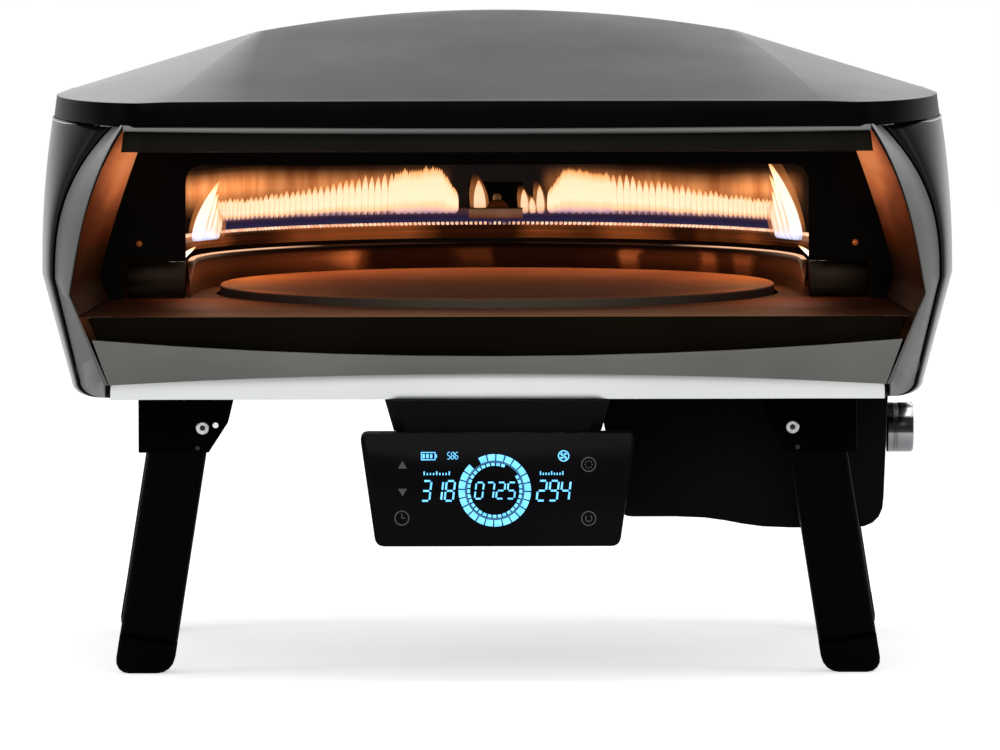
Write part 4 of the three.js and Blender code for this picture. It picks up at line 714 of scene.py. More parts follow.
def paint(name, low, high, roughness, grain, relief, gloss):
    """Powder coat or moulded plastic: a fine skin, slight patches of colour and an uneven sheen."""
    looks = new_looks(name)
    patches = looks.noise(9, detail=3)
    return looks.finish(
        (looks.noise(grain, detail=2), relief, SKIN_DEPTH),
        colour=looks.between(patches, low, high),
        roughness=looks.spread(patches, roughness * 0.88, roughness * 1.12),
        gloss=gloss,
    )


def lid_paint(name):
    """The cover's black coat with painted light: a painted reflection between the creases, dark grey low down
    and near black at the top, and lighter painted light on the facets, more so on the left.
    """
    looks = new_looks(name)
    patches = looks.noise(9, detail=3)
    uneven = looks.sway(patches, 0.08)
    # Painted reflection: between the creases the coat is greyer low down and near black at the top.
    upper = looks.math("ADD", looks.share(looks.place("Z"), LID_DARK_Z, RIM_Z + COVER_RISE), uneven)
    middle = looks.between(upper, (0.046, 0.046, 0.0465), (0.002, 0.002, 0.0025), 0.05, 0.95)
    # Painted light: the facets are lighter towards the left, where the light comes from.
    left = looks.math("ADD", looks.share(looks.place("X"), LID_SIDE_HALF, -LID_SIDE_HALF), uneven)
    facet = looks.between(left, (0.145, 0.145, 0.146), (0.28, 0.28, 0.281), 0.1, 0.9)
    return looks.finish(
        (looks.noise(700, detail=2), 0.05, SKIN_DEPTH),
        colour=looks.mix(fold_share(looks), middle, facet),
        roughness=looks.spread(patches, 0.28, 0.37),
        gloss=0.12,
    )


def fold_share(looks):
    """0 between the cover's two creases and 1 on its facets, where the painted light is lighter, over folds
    rounder to front and rear.
    """
    run = looks.share(looks.math("ABSOLUTE", looks.place("Y")), 0, COVER_DEPTH)
    crease = looks.math("MULTIPLY_ADD", run, CREASE_SPREAD * MM, CREASE_HALF * MM)
    beyond = looks.math("SUBTRACT", looks.math("ABSOLUTE", looks.place("X")), crease)
    inner = looks.math("MULTIPLY_ADD", run, FOLD_INNER * MM, FOLD_LEAST * MM)
    far = looks.math("POWER", run, FOLD_OUTER_POWER)
    outer = looks.math("MULTIPLY_ADD", far, FOLD_OUTER * MM, FOLD_LEAST * MM)
    return looks.math("DIVIDE", looks.math("ADD", beyond, inner), looks.math("ADD", inner, outer))


def deck_with_painted_shade(name):
    """Steel in long brown streaks, its warm brown partly heat tint and partly painted firelight, with painted
    shadow darkening it towards both far sides.
    """
    looks = new_looks(name)
    streaks = looks.noise(14, (1, 5, 1), 5)
    # Painted shadow: darker towards both far sides, where the burner boxes shade the deck.
    far = looks.share(looks.math("ABSOLUTE", looks.place("X")), *DECK_SHADOW)
    return looks.finish(
        (streaks, 0.04, STREAK_DEPTH),
        colour=looks.ramp(
            looks.math("ADD", far, looks.sway(streaks, 0.3)), (0.0, (0.27, 0.125, 0.066)),
            (0.25, (0.22, 0.1, 0.053)), (0.6, (0.09, 0.036, 0.018)), (0.95, (0.03, 0.012, 0.006)),
        ),
        roughness=looks.spread(streaks, 0.4, 0.6),
        gloss=0.1,
    )


def frame_paint(name):
    """The mouth frame's grey coat, painted lighter where it turns up under the cover, as painted light for
    the light it catches there.
    """
    looks = new_looks(name)
    patches = looks.noise(9, detail=3)
    # Painted light: the grey gets lighter towards the top.
    upper = looks.share(looks.place("Z"), FRAME_LIGHT_Z, RIM_Z)
    return looks.finish(
        (looks.noise(900, detail=2), 0.05, SKIN_DEPTH),
        colour=looks.ramp(
            looks.math("ADD", upper, looks.sway(patches, 0.08)), (0.0, (0.088, 0.089, 0.086)),
            (0.35, (0.12, 0.121, 0.118)), (0.65, (0.2, 0.201, 0.197)), (1.0, (0.34, 0.34, 0.335)),
        ),
        roughness=looks.spread(patches, 0.37, 0.47),
        gloss=0.25,
    )


def metal(name, low, high, roughness, stretch, scale, relief, bright_to=None):
    """Rolled or brushed metal: streaks along the grain in colour, sheen and surface.

    It can be bright only up to a depth, and near black from there back."""
    looks = new_looks(name)
    streaks = looks.noise(scale, stretch, 6)
    half = looks.math("MULTIPLY", looks.math("ADD", streaks, looks.noise(7, detail=3)), 0.5)
    colour = looks.between(half, low, high, 0.4, 0.6)
    if bright_to is not None:
        # Near black from the given depth back.
        behind = looks.share(looks.place("Y"), bright_to, bright_to + DARKENING_RUN)
        colour = looks.mix(behind, colour, (0.012, 0.012, 0.012))
    return looks.finish(
        (streaks, relief, STREAK_DEPTH),
        colour=colour,
        roughness=looks.spread(streaks, roughness * 0.75, roughness * 1.25),
        metallic=1,
    )


def chrome_with_painted_reflections(name):
    """Chrome turned on a lathe, with painted reflections as bands along the length, one of them dark, and
    faint tool marks.
    """
    looks = new_looks(name)
    marks = looks.noise(60, (14, 1, 1), 3)
    return looks.finish(
        (marks, 0.04, MARK_DEPTH),
        # Painted reflection: light and dark bands by height.
        colour=looks.ramp(
            looks.share(looks.place("Z"), KNOB_Z - KNOB_RADIUS, KNOB_Z + KNOB_RADIUS), (0.0, 0.6),
            (0.05, (0.22, 0.22, 0.23)), (0.2, (0.2, 0.2, 0.21)), (0.4, (0.27, 0.27, 0.28)), (0.44, 0.03),
            (0.5, 0.015), (0.72, 0.02), (0.77, 0.75), (0.9, 0.9), (0.93, 0.25), (1.0, 0.6),
        ),
        roughness=looks.spread(marks, 0.14, 0.22),
        metallic=1,
    )


def wall_with_painted_firelight(name):
    """Dark steel behind the flames, with their glow painted on it as emission in upright streaks, none at the
    igniter.
    """
    looks = new_looks(name)
    streaks = looks.noise(9, (9, 9, 1), 5)
    upper = looks.share(looks.place("Z"), DECK_Z, DECK_Z + CHAMBER_RISE)
    # Painted firelight: how much glow there is by height and across.
    height = looks.ramp(
        looks.math("ADD", upper, looks.sway(looks.noise(5, detail=2), 0.08)), (0.44, 0), (0.5, 0.1),
        (0.57, 0.55), (0.62, 0.9), (0.66, 0.8), (0.71, 0.35), (0.75, 0.05), (0.78, 0),
    )
    middle = 0.5 + (FLAME_GAP[0] + FLAME_GAP[1]) / 4 / BURNER_RADIUS
    across = looks.ramp(
        looks.share(looks.place("X"), -BURNER_RADIUS, BURNER_RADIUS), (0.0, 0.4), (0.03, 1.9), (0.11, 1.8),
        (0.15, 1), (middle - 0.13, 1), (middle - 0.08, 0), (middle + 0.06, 0), (middle + 0.11, 1),
        (0.86, 1), (0.9, 1.6), (0.94, 1.3), (0.98, 0),
    )
    return looks.finish(
        (streaks, 0.05, STREAK_DEPTH),
        colour=looks.between(streaks, (0.006, 0.003, 0.002), (0.012, 0.006, 0.004)),
        glow=looks.between(streaks, (0.5, 0.14, 0.036), (0.85, 0.3, 0.095)),
        lift=looks.math("MULTIPLY", height, across),
        roughness=0.35,
        gloss=0.15,
    )


def lit_from_above(name, low_z, high_z, low, high):
    """A rounded bar in satin paint with painted light and shade: dark below, light along its upper edge."""
    looks = new_looks(name)
    grain = looks.noise(600, detail=2)
    upper = looks.share(looks.place("Z"), low_z, high_z)
    total = looks.math("ADD", upper, looks.math("MULTIPLY", grain, 0.1))
    colour = looks.between(total, low, high, 0.15, 0.85)
    return looks.finish((grain, 0.05, MARK_DEPTH), colour=colour, roughness=0.45, gloss=0.1)


def liner_with_painted_firelight(name):
    """Steel with painted firelight: a copper glow bright at its upper rear, fading to painted shade below and
    at the lip.
    """
    looks = new_looks(name)
    streaks = looks.noise(8, (1, 1.5, 6), 4)
    upper = looks.share(looks.place("Z"), *FIRELIGHT_Z)
    depth = looks.math("MULTIPLY_ADD", looks.share(looks.place("Y"), *FIRELIGHT_Y), 0.42, 0.55)
    # Painted firelight: this share sets how much of the flames' glow is painted on, in colour and as
    # emission.
    heat = looks.math("ADD", looks.math("MULTIPLY", upper, depth), looks.sway(streaks, 0.12))
    colour = looks.ramp(
        heat, (0.06, (0.006, 0.0015, 0.0004)), (0.2, (0.018, 0.004, 0.001)), (0.35, (0.05, 0.009, 0.0025)),
        (0.5, (0.12, 0.028, 0.009)), (0.62, (0.26, 0.066, 0.023)), (0.75, (0.46, 0.13, 0.042)),
        (0.92, (0.62, 0.21, 0.075)),
    )
    return looks.finish(
        (streaks, 0.03, STREAK_DEPTH), colour=colour, glow=colour, lift=0.85,
        metallic=0.5, roughness=0.42, gloss=0.1,
    )


def steel_with_painted_glints(name, low, high, scale, stretch, lift):
    """Polished steel beside the flames, with painted firelight: long copper glints on a dark ground, glowing
    as emission.
    """
    looks = new_looks(name)
    glints = looks.noise(scale, stretch, 2)
    colour = looks.between(glints, low, high, 0.42, 0.62)
    sheen = looks.spread(glints, 0.3, 0.16)
    return looks.finish(
        (glints, 0.03, STREAK_DEPTH), colour=colour, glow=colour, lift=lift, metallic=1, roughness=sheen,
    )


def mirroring_guard(name):
    """Polished steel round the stone, with painted reflections: the flames show in it as a few blurred copper
    patches that glow as emission.
    """
    looks = new_looks(name)
    ripples = looks.noise(22, (1, 1, 3), 3)
    across = looks.share(looks.place("X"), -GUARD_PATCH_HALF, GUARD_PATCH_HALF)
    across = looks.math("ADD", across, looks.sway(ripples, 0.015))
    foot_z = DECK_Z + SEAT_GAP
    lip_z = foot_z + GUARD_HEIGHT
    up = looks.share(looks.place("Z"), foot_z, lip_z)
    glow_share = looks.math("MULTIPLY", looks.ramp(across, *GUARD_PATCHES), looks.ramp(up, *GUARD_LEVELS))
    copper = looks.ramp(
        glow_share, (0.0, (0.003, 0.0008, 0.0003)), (0.2, (0.022, 0.005, 0.0014)),
        (0.5, (0.1, 0.023, 0.006)), (1.0, (0.5, 0.13, 0.035)),
    )
    # A painted highlight: a bright line along the top of the lip at both sides.
    side = looks.share(looks.math("ABSOLUTE", looks.place("X")), *GUARD_SIDE)
    lip = looks.share(looks.place("Z"), *(lip_z - drop for drop in GUARD_LIP_BAND))
    colour = looks.mix(looks.math("MULTIPLY", side, lip), copper, (1.0, 0.6, 0.36))
    return looks.finish(
        (ripples, 0.03, STREAK_DEPTH), colour=colour, glow=colour, lift=0.8, metallic=1, roughness=0.3,
    )


def stone_with_painted_firelight(name):
    """Cordierite with painted light and shade: painted firelight at both sides and towards the back, greyer
    round its rim, where painted shade deepens towards both sides, with darker specks and pits.
    """
    looks = new_looks(name)
    specks = looks.noise(420, detail=3)
    wide = looks.math("ABSOLUTE", looks.place("X"))
    side = looks.share(wide, STONE_SIDE, STONE_RADIUS)
    back_y = STONE_Y + STONE_RADIUS * STONE_BACK_SHARE
    back = looks.share(looks.place("Y"), STONE_Y - STONE_RADIUS, back_y)
    # Painted firelight: the top is lighter at both sides and towards the back.
    lit = looks.math("MAXIMUM", side, looks.math("MULTIPLY", back, 0.55))
    top = looks.ramp(
        looks.math("ADD", lit, looks.math("MULTIPLY", looks.noise(14, detail=5), 0.25)),
        (0.1, (0.2, 0.065, 0.022)), (0.45, (0.3, 0.1, 0.035)), (0.75, (0.5, 0.2, 0.085)),
        (1.0, (0.72, 0.36, 0.17)),
    )
    pits = looks.between(specks, (0.6, 0.55, 0.5), (1, 1, 1), 0.3, 0.42)
    top_z = DECK_Z + STONE_RISE
    shade = (reach * MM for reach in STONE_RIM_SHADE)
    # Painted shade: the rim is darker towards both sides.
    rim = looks.between(wide, (0.075, 0.056, 0.037), (0.02, 0.011, 0.007), *shade)
    upper = looks.share(looks.place("Z"), *(top_z - drop for drop in STONE_TOP_BAND))
    colour = looks.mix(upper, rim, looks.mix(0.6, top, pits, "MULTIPLY"))
    return looks.finish((specks, 0.25, PIT_DEPTH), colour=colour, roughness=0.78)


def wool(name):
    looks = new_looks(name)
    fibres = looks.noise(260, (1, 6, 1), 8)
    colour = looks.between(fibres, (0.5, 0.45, 0.36), (0.8, 0.76, 0.68))
    return looks.finish((fibres, 0.6, FIBRE_DEPTH), colour=colour, roughness=1)


def glow(name, colour, strength, edge):
    """A lit surface; the edge colour sits in faint patches, as in a real lamp segment."""
    looks = new_looks(name)
    lit = looks.between(looks.noise(160, detail=2), edge, colour)
    return looks.finish(glow=lit, colour=lit, lift=strength, roughness=0.4)


def flame(name, strength, *stops):
    """Hot gas: the colour and the clearness follow the height that each point carries."""
    looks = new_looks(name)
    height = looks.add("ShaderNodeAttribute", attribute_name="flame_height").outputs["Fac"]
    total = looks.math("ADD", height, looks.sway(looks.noise(55, (1, 1, 0.25), 2), 0.12))
    return looks.finish(
        glow=looks.ramp(total, *((place, shade) for place, shade, _ in stops)),
        alpha=looks.ramp(total, *((place, clear) for place, _, clear in stops)),
        colour=(0, 0, 0), gloss=0, roughness=1, lift=strength,
    )


def make_materials():
    for make, rows in ((paint, PAINTS), (metal, METALS), (glow, GLOWS), (flame, FLAMES)):
        MATERIALS.update({key: make(*row) for key, row in rows.items()})
    burner_colours = ((0.026, 0.006, 0.0015), (0.24, 0.06, 0.014))
    trim_colours = ((0.022, 0.022, 0.02), (0.2, 0.2, 0.195))
    MATERIALS.update({
        "cover": lid_paint("cover_paint_black"),
        "flank": frame_paint("frame_paint_grey"),
        "tray": metal(*TRAY_METAL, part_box("base_tray")[0].y / MM + TRAY_FRONT),
        "liner": liner_with_painted_firelight("liner_steel"),
        "trim": lit_from_above("bar_trim", TRIM_TOP_Z - TRIM_RISE, TRIM_TOP_Z, *trim_colours),
        "deck": deck_with_painted_shade("deck_steel"),
        "wall": wall_with_painted_firelight("wall_steel"),
        "guard": mirroring_guard("guard_steel"),
        "burner": steel_with_painted_glints("burner_steel", *burner_colours, 8, (1.5, 1.5, 0.3), 0.75),
        "chrome": chrome_with_painted_reflections("knob_chrome"),
        "stone": stone_with_painted_firelight("stone_with_painted_firelight"),
        "wool": wool("mineral_wool"),
    })


# Modifiers and object making

def smoothing_group():
    """Smooth faces, with an edge left sharp where it is marked so or its faces meet steeply."""
    group = bpy.data.node_groups.new("smooth_faces", "GeometryNodeTree")
    for way in ("INPUT", "OUTPUT"):
        group.interface.new_socket("Geometry", in_out=way, socket_type="NodeSocketGeometry")
    tree = Tree(group)
    source = tree.add("NodeGroupInput").outputs[0]
    faces = tree.add("GeometryNodeSetShadeSmooth", {"Geometry": source}).outputs[0]
    angle = tree.add("GeometryNodeInputMeshEdgeAngle").outputs["Unsigned Angle"]
    inputs = {0: angle, 1: math.radians(SMOOTH_ANGLE)}
    steep = tree.add("FunctionNodeCompare", inputs, operation="GREATER_THAN").outputs[0]
    inputs = {"Geometry": faces, "Selection": steep, "Shade Smooth": False}
    edges = tree.add("GeometryNodeSetShadeSmooth", inputs, domain="EDGE")
    tree.add("NodeGroupOutput", {0: edges.outputs[0]})
    return group


SMOOTHING = smoothing_group()


def modify(thing, name, kind, **settings):
    modifier = thing.modifiers.new(name, kind)
    for key, value in settings.items():
        setattr(modifier, key, value)


def soften(thing, width):
    """Smooths a body, and rounds its edges where a width is given."""
    if width:
        modify(thing, "weld", "WELD", merge_threshold=WELD_REACH * MM)
        modify(
            thing, "bevel", "BEVEL", width=width * MM, segments=BEVEL_SEGMENTS, limit_method="ANGLE",
            angle_limit=math.radians(SMOOTH_ANGLE), use_clamp_overlap=False,
        )
    modify(thing, "smooth", "NODES", node_group=SMOOTHING)


def make_piece(name, body_mesh, look, replaces=(), body=ROOT, bevel=0):
    points, faces = body_mesh
    mesh = bpy.data.meshes.new(name)
    mesh.from_pydata([tuple(value * MM for value in point) for point in points], [], faces)
    mesh.validate()
    tidy = bmesh.new()
    tidy.from_mesh(mesh)
    bmesh.ops.recalc_face_normals(tidy, faces=tidy.faces)
    tidy.to_mesh(mesh)
    tidy.free()
    mesh.materials.append(MATERIALS[look])
    piece = new_object(name, mesh)
    soften(piece, bevel)
    if replaces:
        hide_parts(*replaces)
    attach(piece, body)
    return piece


def make_pair(name, body_mesh, look, bevel=0, replaces=True):
    """A right-hand body and its mirror image, each in place of the node of its name or an addition."""
    for side, mesh in (("right", body_mesh), ("left", mirrored(*body_mesh))):
        if replaces:
            make_piece(f"{name}_{side}_panel", mesh, look, (f"{name}_{side}",), bevel=bevel)
        else:
            make_piece(f"{name}_{side}", mesh, look)


def second_look(mesh, look, chosen):
    """Gives some faces of a mesh a look of their own."""
    mesh.materials.append(MATERIALS[look])
    for face in mesh.polygons:
        if chosen(face):
            face.material_index = 1


def steps(count):
    return [place / count for place in range(count + 1)]


def arc(count, start=0, sweep=QUARTER_TURN):
    """(cosine, sine) pairs at even steps round an arc."""
    return [(math.cos(start + sweep * share), math.sin(start + sweep * share)) for share in steps(count)]


def ring(count):
    return arc(count, 0, FULL_TURN)[:-1]


def grid_faces(row_count, column_count, closed=False):
    faces = []
    for row in range(row_count - 1):
        for column in range(column_count if closed else column_count - 1):
            near, far = row * column_count, (row + 1) * column_count
            across = (column + 1) % column_count
            faces.append((near + column, near + across, far + across, far + column))
    return faces


def grid_normal(rows, row, column):
    last_row, last_column = len(rows) - 1, len(rows[0]) - 1
    along = Vector(rows[min(row + 1, last_row)][column]) - Vector(rows[max(row - 1, 0)][column])
    across = Vector(rows[row][min(column + 1, last_column)]) - Vector(rows[row][max(column - 1, 0)])
    return along.cross(across).normalized()


def bent_sheet(rows, thickness, inside):
    """Points and faces of a sheet: a grid as its face, and its thickness towards the inside point.

    A thickness below zero goes away from that point."""
    row_count, column_count = len(rows), len(rows[0])
    middle_row, middle_column = row_count // 2, column_count // 2
    towards = Vector(inside) - Vector(rows[middle_row][middle_column])
    facing = math.copysign(1, grid_normal(rows, middle_row, middle_column).dot(towards))
    face = [tuple(point) for line in rows for point in line]
    back = []
    for row, line in enumerate(rows):
        for column, point in enumerate(line):
            back.append(tuple(Vector(point) + grid_normal(rows, row, column) * facing * thickness))
    count = len(face)
    faces = grid_faces(row_count, column_count)
    faces += [tuple(corner + count for corner in reversed(corners)) for corners in faces]
    border = sheet_border(row_count, column_count)
    for near, following in zip(border, border[1:] + border[:1]):
        faces.append((following, near, near + count, following + count))
    return face + back, faces


def sheet_border(row_count, column_count):
    last = (row_count - 1) * column_count
    border = list(range(column_count))
    border += [row * column_count + column_count - 1 for row in range(1, row_count)]
    border += [last + column for column in range(column_count - 2, -1, -1)]
    return border + [row * column_count for row in range(row_count - 2, 0, -1)]


def loft(rings):
    """A closed body through rings of points."""
    count = len(rings[0])
    faces = grid_faces(len(rings), count, closed=True)
    faces.append(tuple(reversed(range(count))))
    first = (len(rings) - 1) * count
    faces.append(tuple(range(first, first + count)))
    return [tuple(point) for points in rings for point in points], faces


def mirrored(points, faces):
    return [(-x, y, z) for x, y, z in points], [tuple(reversed(corners)) for corners in faces]


def with_mirror(body_mesh):
    return join_parts([body_mesh, mirrored(*body_mesh)])


def moved(body_mesh, offset):
    points, faces = body_mesh
    return [tuple(part + step for part, step in zip(point, offset)) for point in points], faces


def join_parts(parts):
    points, faces = [], []
    for some_points, some_faces in parts:
        start = len(points)
        points += some_points
        faces += [tuple(corner + start for corner in corners) for corners in some_faces]
    return points, faces


def turned(profile, segments, axis="Z"):
    """A body turned about an axis through the origin from (radius, along) pairs."""
    lay = {"Z": lambda a, b, along: (a, b, along), "Y": lambda a, b, along: (a, along, -b)}
    lay["X"] = lambda a, b, along: (along, a, b)
    turns = ring(segments)
    return loft([
        [lay[axis](radius * cosine, radius * sine, along) for cosine, sine in turns]
        for radius, along in profile
    ])


def bar_along(path, radius, sides, guide=UP):
    """A closed round bar along a path."""
    path = [Vector(point) for point in path]
    guide = Vector(guide).normalized()
    rings = []
    for centre, ahead, behind in zip(path, path[1:] + path[-1:], path[:1] + path[:-1]):
        along = (ahead - behind).normalized()
        across = along.cross(guide).normalized()
        up = across.cross(along)
        rings.append([centre + (across * cosine + up * sine) * radius for cosine, sine in ring(sides)])
    return loft(rings)


def inset_outline(outline, inset):
    """The outline moved inwards; it runs counterclockwise."""
    corners = []
    count = len(outline)
    for place in range(count):
        before, here, after = (Vector(outline[(place + step) % count]) for step in (-1, 0, 1))
        first, second = (here - before).normalized(), (after - here).normalized()
        normal = Vector((-first.y - second.y, first.x + second.x)).normalized()
        lean = max(normal.dot(Vector((-first.y, first.x))), 0.4)
        corners.append(tuple(here + normal * inset / lean))
    return corners


def turns_left(outline):
    """Whether an outline runs counterclockwise."""
    following = outline[1:] + outline[:1]
    return sum(x1 * z2 - x2 * z1 for (x1, z1), (x2, z2) in zip(outline, following)) > 0


def rounded_slab(outline, near, far, radius, quarter=5):
    """An outline in X and Z extruded along Y, with its edges rounded."""
    if not turns_left(outline):
        outline = list(reversed(outline))
    turns = [(radius * (1 - sine), radius * (1 - cosine)) for cosine, sine in arc(quarter)]
    sections = [(inset, near + back) for inset, back in turns]
    sections += [(inset, far - back) for inset, back in reversed(turns)]
    return loft([[(x, y, z) for x, z in inset_outline(outline, inset)] for inset, y in sections])


def span(name, axis):
    """Where a node starts and ends along an axis."""
    low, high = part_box(name)
    return getattr(low, axis) / MM, getattr(high, axis) / MM


# Side shells and mouth frame

def lip_lean(share):
    return LIP_CROWN * (LIP_BEND_SHARE * share + (1 - LIP_BEND_SHARE) * share ** 3)


def panel_rows():
    """Half width and height of the shell's side, the flank and the lip, from their feet up."""
    tuck_z = TRAY_Z + SEAT_GAP + FOOT_TURN_RISE
    flank_tuck_z = TRAY_Z + SEAT_GAP + FLANK_TURN_RISE
    flank_half = HALF_WIDTH - FLANK_INSET
    shell_top = RIM_Z - SEAT_GAP
    rows = []
    for share, (cosine, sine) in zip(steps(8), arc(8)):
        rows.append((
            HALF_WIDTH - SHELL_TUCK - FOOT_TURN * (1 - sine), tuck_z - FOOT_TURN_RISE * cosine,
            flank_half - FLANK_TUCK - FLANK_TURN * (1 - sine), flank_tuck_z - FLANK_TURN_RISE * cosine,
            LIP_CORNER_HALF - LIP_TUCK * (1 - LIP_TURN_SHARE * share),
            LIP_FOOT_Z + (LIP_CORNER_Z - LIP_FOOT_Z) * LIP_TURN_SHARE * share,
        ))
    for share in steps(18):
        panel_z = WAIST_Z + (shell_top - WAIST_Z) * share
        rows.append((
            HALF_WIDTH - SHELL_LEAN * share ** LEAN_POWER, panel_z,
            flank_half - FLANK_CROWN * share ** FLANK_POWER, panel_z,
            LIP_CORNER_HALF - lip_lean(share), LIP_CORNER_Z + (shell_top - LIP_CORNER_Z) * share,
        ))
    return rows


def lip_face_at(z):
    """The lip's front face is wider at its foot than from its corner up."""
    share = min(max((z - LIP_FOOT_Z) / (LIP_CORNER_Z - LIP_FOOT_Z), 0), 1)
    return LIP_FACE + (LIP_FACE_TOP - LIP_FACE) * share


def lip_half_at(z):
    """Half width of the mouth inside the lip, below the lip's corner."""
    tuck = LIP_TUCK * (LIP_CORNER_Z - z) / (LIP_CORNER_Z - LIP_FOOT_Z)
    return LIP_CORNER_HALF - lip_face_at(z) - PANEL_GAP - tuck


def shell_row(side_half, side_z, flank_half, flank_z, *_):
    front_y = FRONT_Y + FLANK_DEPTH + FRAME_GROOVE
    front_half = flank_half + FRAME_GROOVE
    rear_half = side_half - REAR_INSET
    row = []
    for cosine, sine in arc(16):
        x = front_half + (side_half - front_half) * sine
        row.append((x, front_y + FRONT_RUN * (1 - cosine), flank_z + (side_z - flank_z) * sine))
    for cosine, sine in arc(16):
        row.append((rear_half + REAR_INSET * cosine, REAR_Y - REAR_RUN * (1 - sine), side_z))
    return row


def frame_row(_, __, flank_half, flank_z, lip_half, lip_z):
    inner = (lip_half - lip_face_at(lip_z), FRONT_Y, lip_z)
    return [(flank_half, FRONT_Y + FLANK_DEPTH, flank_z), (lip_half, FRONT_Y, lip_z), inner]


def make_shells():
    for name, row_of, look, slot in (
        ("side_shell", shell_row, "shell", "shell_paint"),
        ("mouth_frame", frame_row, "flank", "frame_grey"),
    ):
        sheet = bent_sheet([row_of(*row) for row in panel_rows()], SHELL_SHEET, (0, 0, WAIST_Z))
        make_pair(name, sheet, look, SHEET_EDGE)


def make_rim_lines():
    """A painted highlight: a bright strip for the light on the side shells' upper edge, which shows in the
    joint under the cover.
    """
    top = panel_rows()[-1]
    lower = (top[0], top[1] - RIM_LINE_HEIGHT, top[2], top[3] - RIM_LINE_HEIGHT)
    rows = [[rim_line_point(*point) for point in shell_row(*row)[:RIM_LINE_POINTS]] for row in (lower, top)]
    sheet = bent_sheet(rows, -RIM_LINE_PROUD, (0, 0, WAIST_Z))
    make_pair("rim_line", sheet, "rim_line", replaces=False)


def rim_line_point(x, y, z):
    """A point of the edge, a little proud of the shell and lower where the cover's corner overhangs it."""
    front = min(max(-y - FRONT_RUN, 0) / FRONT_RUN, 1)
    return x * (1 + RIM_LINE_PROUD / HALF_WIDTH), y - RIM_LINE_PROUD * (y < 0), z - RIM_LINE_SAG * front


def make_trim_bar():
    """The rounded bar over the mouth."""
    half = LIP_CORNER_HALF - LIP_CROWN - LIP_FACE_TOP - PANEL_GAP
    radius = TRIM_RISE / 2
    section = [
        (FRONT_Y + radius * (1 + cosine), TRIM_TOP_Z - radius + radius * sine)
        for cosine, sine in arc(12, QUARTER_TURN, HALF_TURN)
    ]
    section += [(FRONT_Y + TRIM_DEPTH, TRIM_TOP_Z - TRIM_RISE), (FRONT_Y + TRIM_DEPTH, TRIM_TOP_Z)]
    stations = [half * (2 * share - 1) for share in steps(24)]
    bar_mesh = loft([[(x, y, z + TRIM_BOW * (x / half) ** 2) for y, z in section] for x in stations])
    make_piece("mouth_frame_top_bar", bar_mesh, "trim", ("mouth_frame_top",))
    make_header_ends(half)


def make_header_ends(half):
    """Carry the visor over the mouth out to the cheeks."""
    near_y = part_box("mouth_header")[0].y / MM - HEADER_END_PROUD
    inner, top_z = half - HEADER_END_WIDTH, RIM_Z - TRIM_RISE
    outer = half + HEADER_END_REACH
    outline = [(inner, HEADER_LOW_Z), (outer, HEADER_LOW_Z), (half, top_z), (inner, top_z)]
    right = rounded_slab(outline, near_y, near_y + LINER_SHEET, SHEET_EDGE, 2)
    make_piece("mouth_header_ends", with_mirror(right), "header")


# Mouth cheeks

def liner_row(share):
    front_top = RIM_Z - HEADER_TOP_DROP - TOP_BAR_HEIGHT
    front_half = LIP_CORNER_HALF - lip_lean(share) - LIP_FACE_TOP - PANEL_GAP
    back_half = LINER_BACK_HALF - LINER_LEAN * share ** LINER_POWER
    return [
        (front_half, FRONT_Y + SHELL_SHEET, LIP_CORNER_Z + (front_top - LIP_CORNER_Z) * share),
        (back_half, LINER_BACK_Y, LIP_CORNER_Z + LINER_TOP * share),
    ]


def make_cheeks():
    """The steel cheeks: their inner faces, which come first, show painted firelight, and the others are
    black.
    """
    floor_z = DECK_Z + SEAT_GAP + LINER_SHEET
    back_half = LINER_BACK_HALF - LINER_FOOT_INSET
    foot = [(lip_half_at(floor_z), FRONT_Y + SHELL_SHEET, floor_z), (back_half, LINER_BACK_Y, floor_z)]
    rows = [foot] + [liner_row(share) for share in steps(18)]
    inside = (0, LINER_BACK_Y, LIP_CORNER_Z)
    make_pair("mouth_cheek", bent_sheet(rows, -LINER_SHEET, inside), "liner", LINER_EDGE)
    for side in ("left", "right"):
        mesh = bpy.data.objects[f"mouth_cheek_{side}_panel"].data
        second_look(mesh, "heat", lambda face: face.index >= len(rows) - 1)
    make_cheek_feet(inside)


def make_cheek_feet(inside):
    """The liner's lower fold, which closes the corner between the lip, the deck and the apron."""
    rows = []
    for share in steps(6):
        z = CHEEK_FOOT_Z + (DECK_Z + SEAT_GAP - CHEEK_FOOT_Z) * share
        half = lip_half_at(z)
        rows.append([(half, FRONT_Y + SHELL_SHEET, z), (half - CHEEK_FOOT_INSET, CHEEK_FOOT_Y, z)])
    sheet = bent_sheet(rows, -LINER_SHEET, inside)
    make_pair("mouth_cheek_foot", sheet, "liner_foot", replaces=False)


def make_deck_sides():
    """Strips that close the deck against the two cheeks."""
    front = lip_half_at(DECK_Z) + DECK_SIDE_TUCK
    rear = LINER_BACK_HALF - LINER_FOOT_INSET + DECK_SIDE_TUCK
    near_y, far_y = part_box("floor_apron")[0].y / MM + SEAT_GAP, LINER_BACK_Y - LINER_SHEET
    plan = [(front - DECK_SIDE_WIDTH, near_y), (front, near_y)]
    plan += [(rear, far_y), (rear - DECK_SIDE_WIDTH / 2, far_y)]
    strip = loft([[(x, y, z) for x, y in plan] for z in (DECK_Z - LINER_SHEET, DECK_Z + DECK_SIDE_RISE)])
    make_piece("deck_side_strips", with_mirror(strip), "deck")


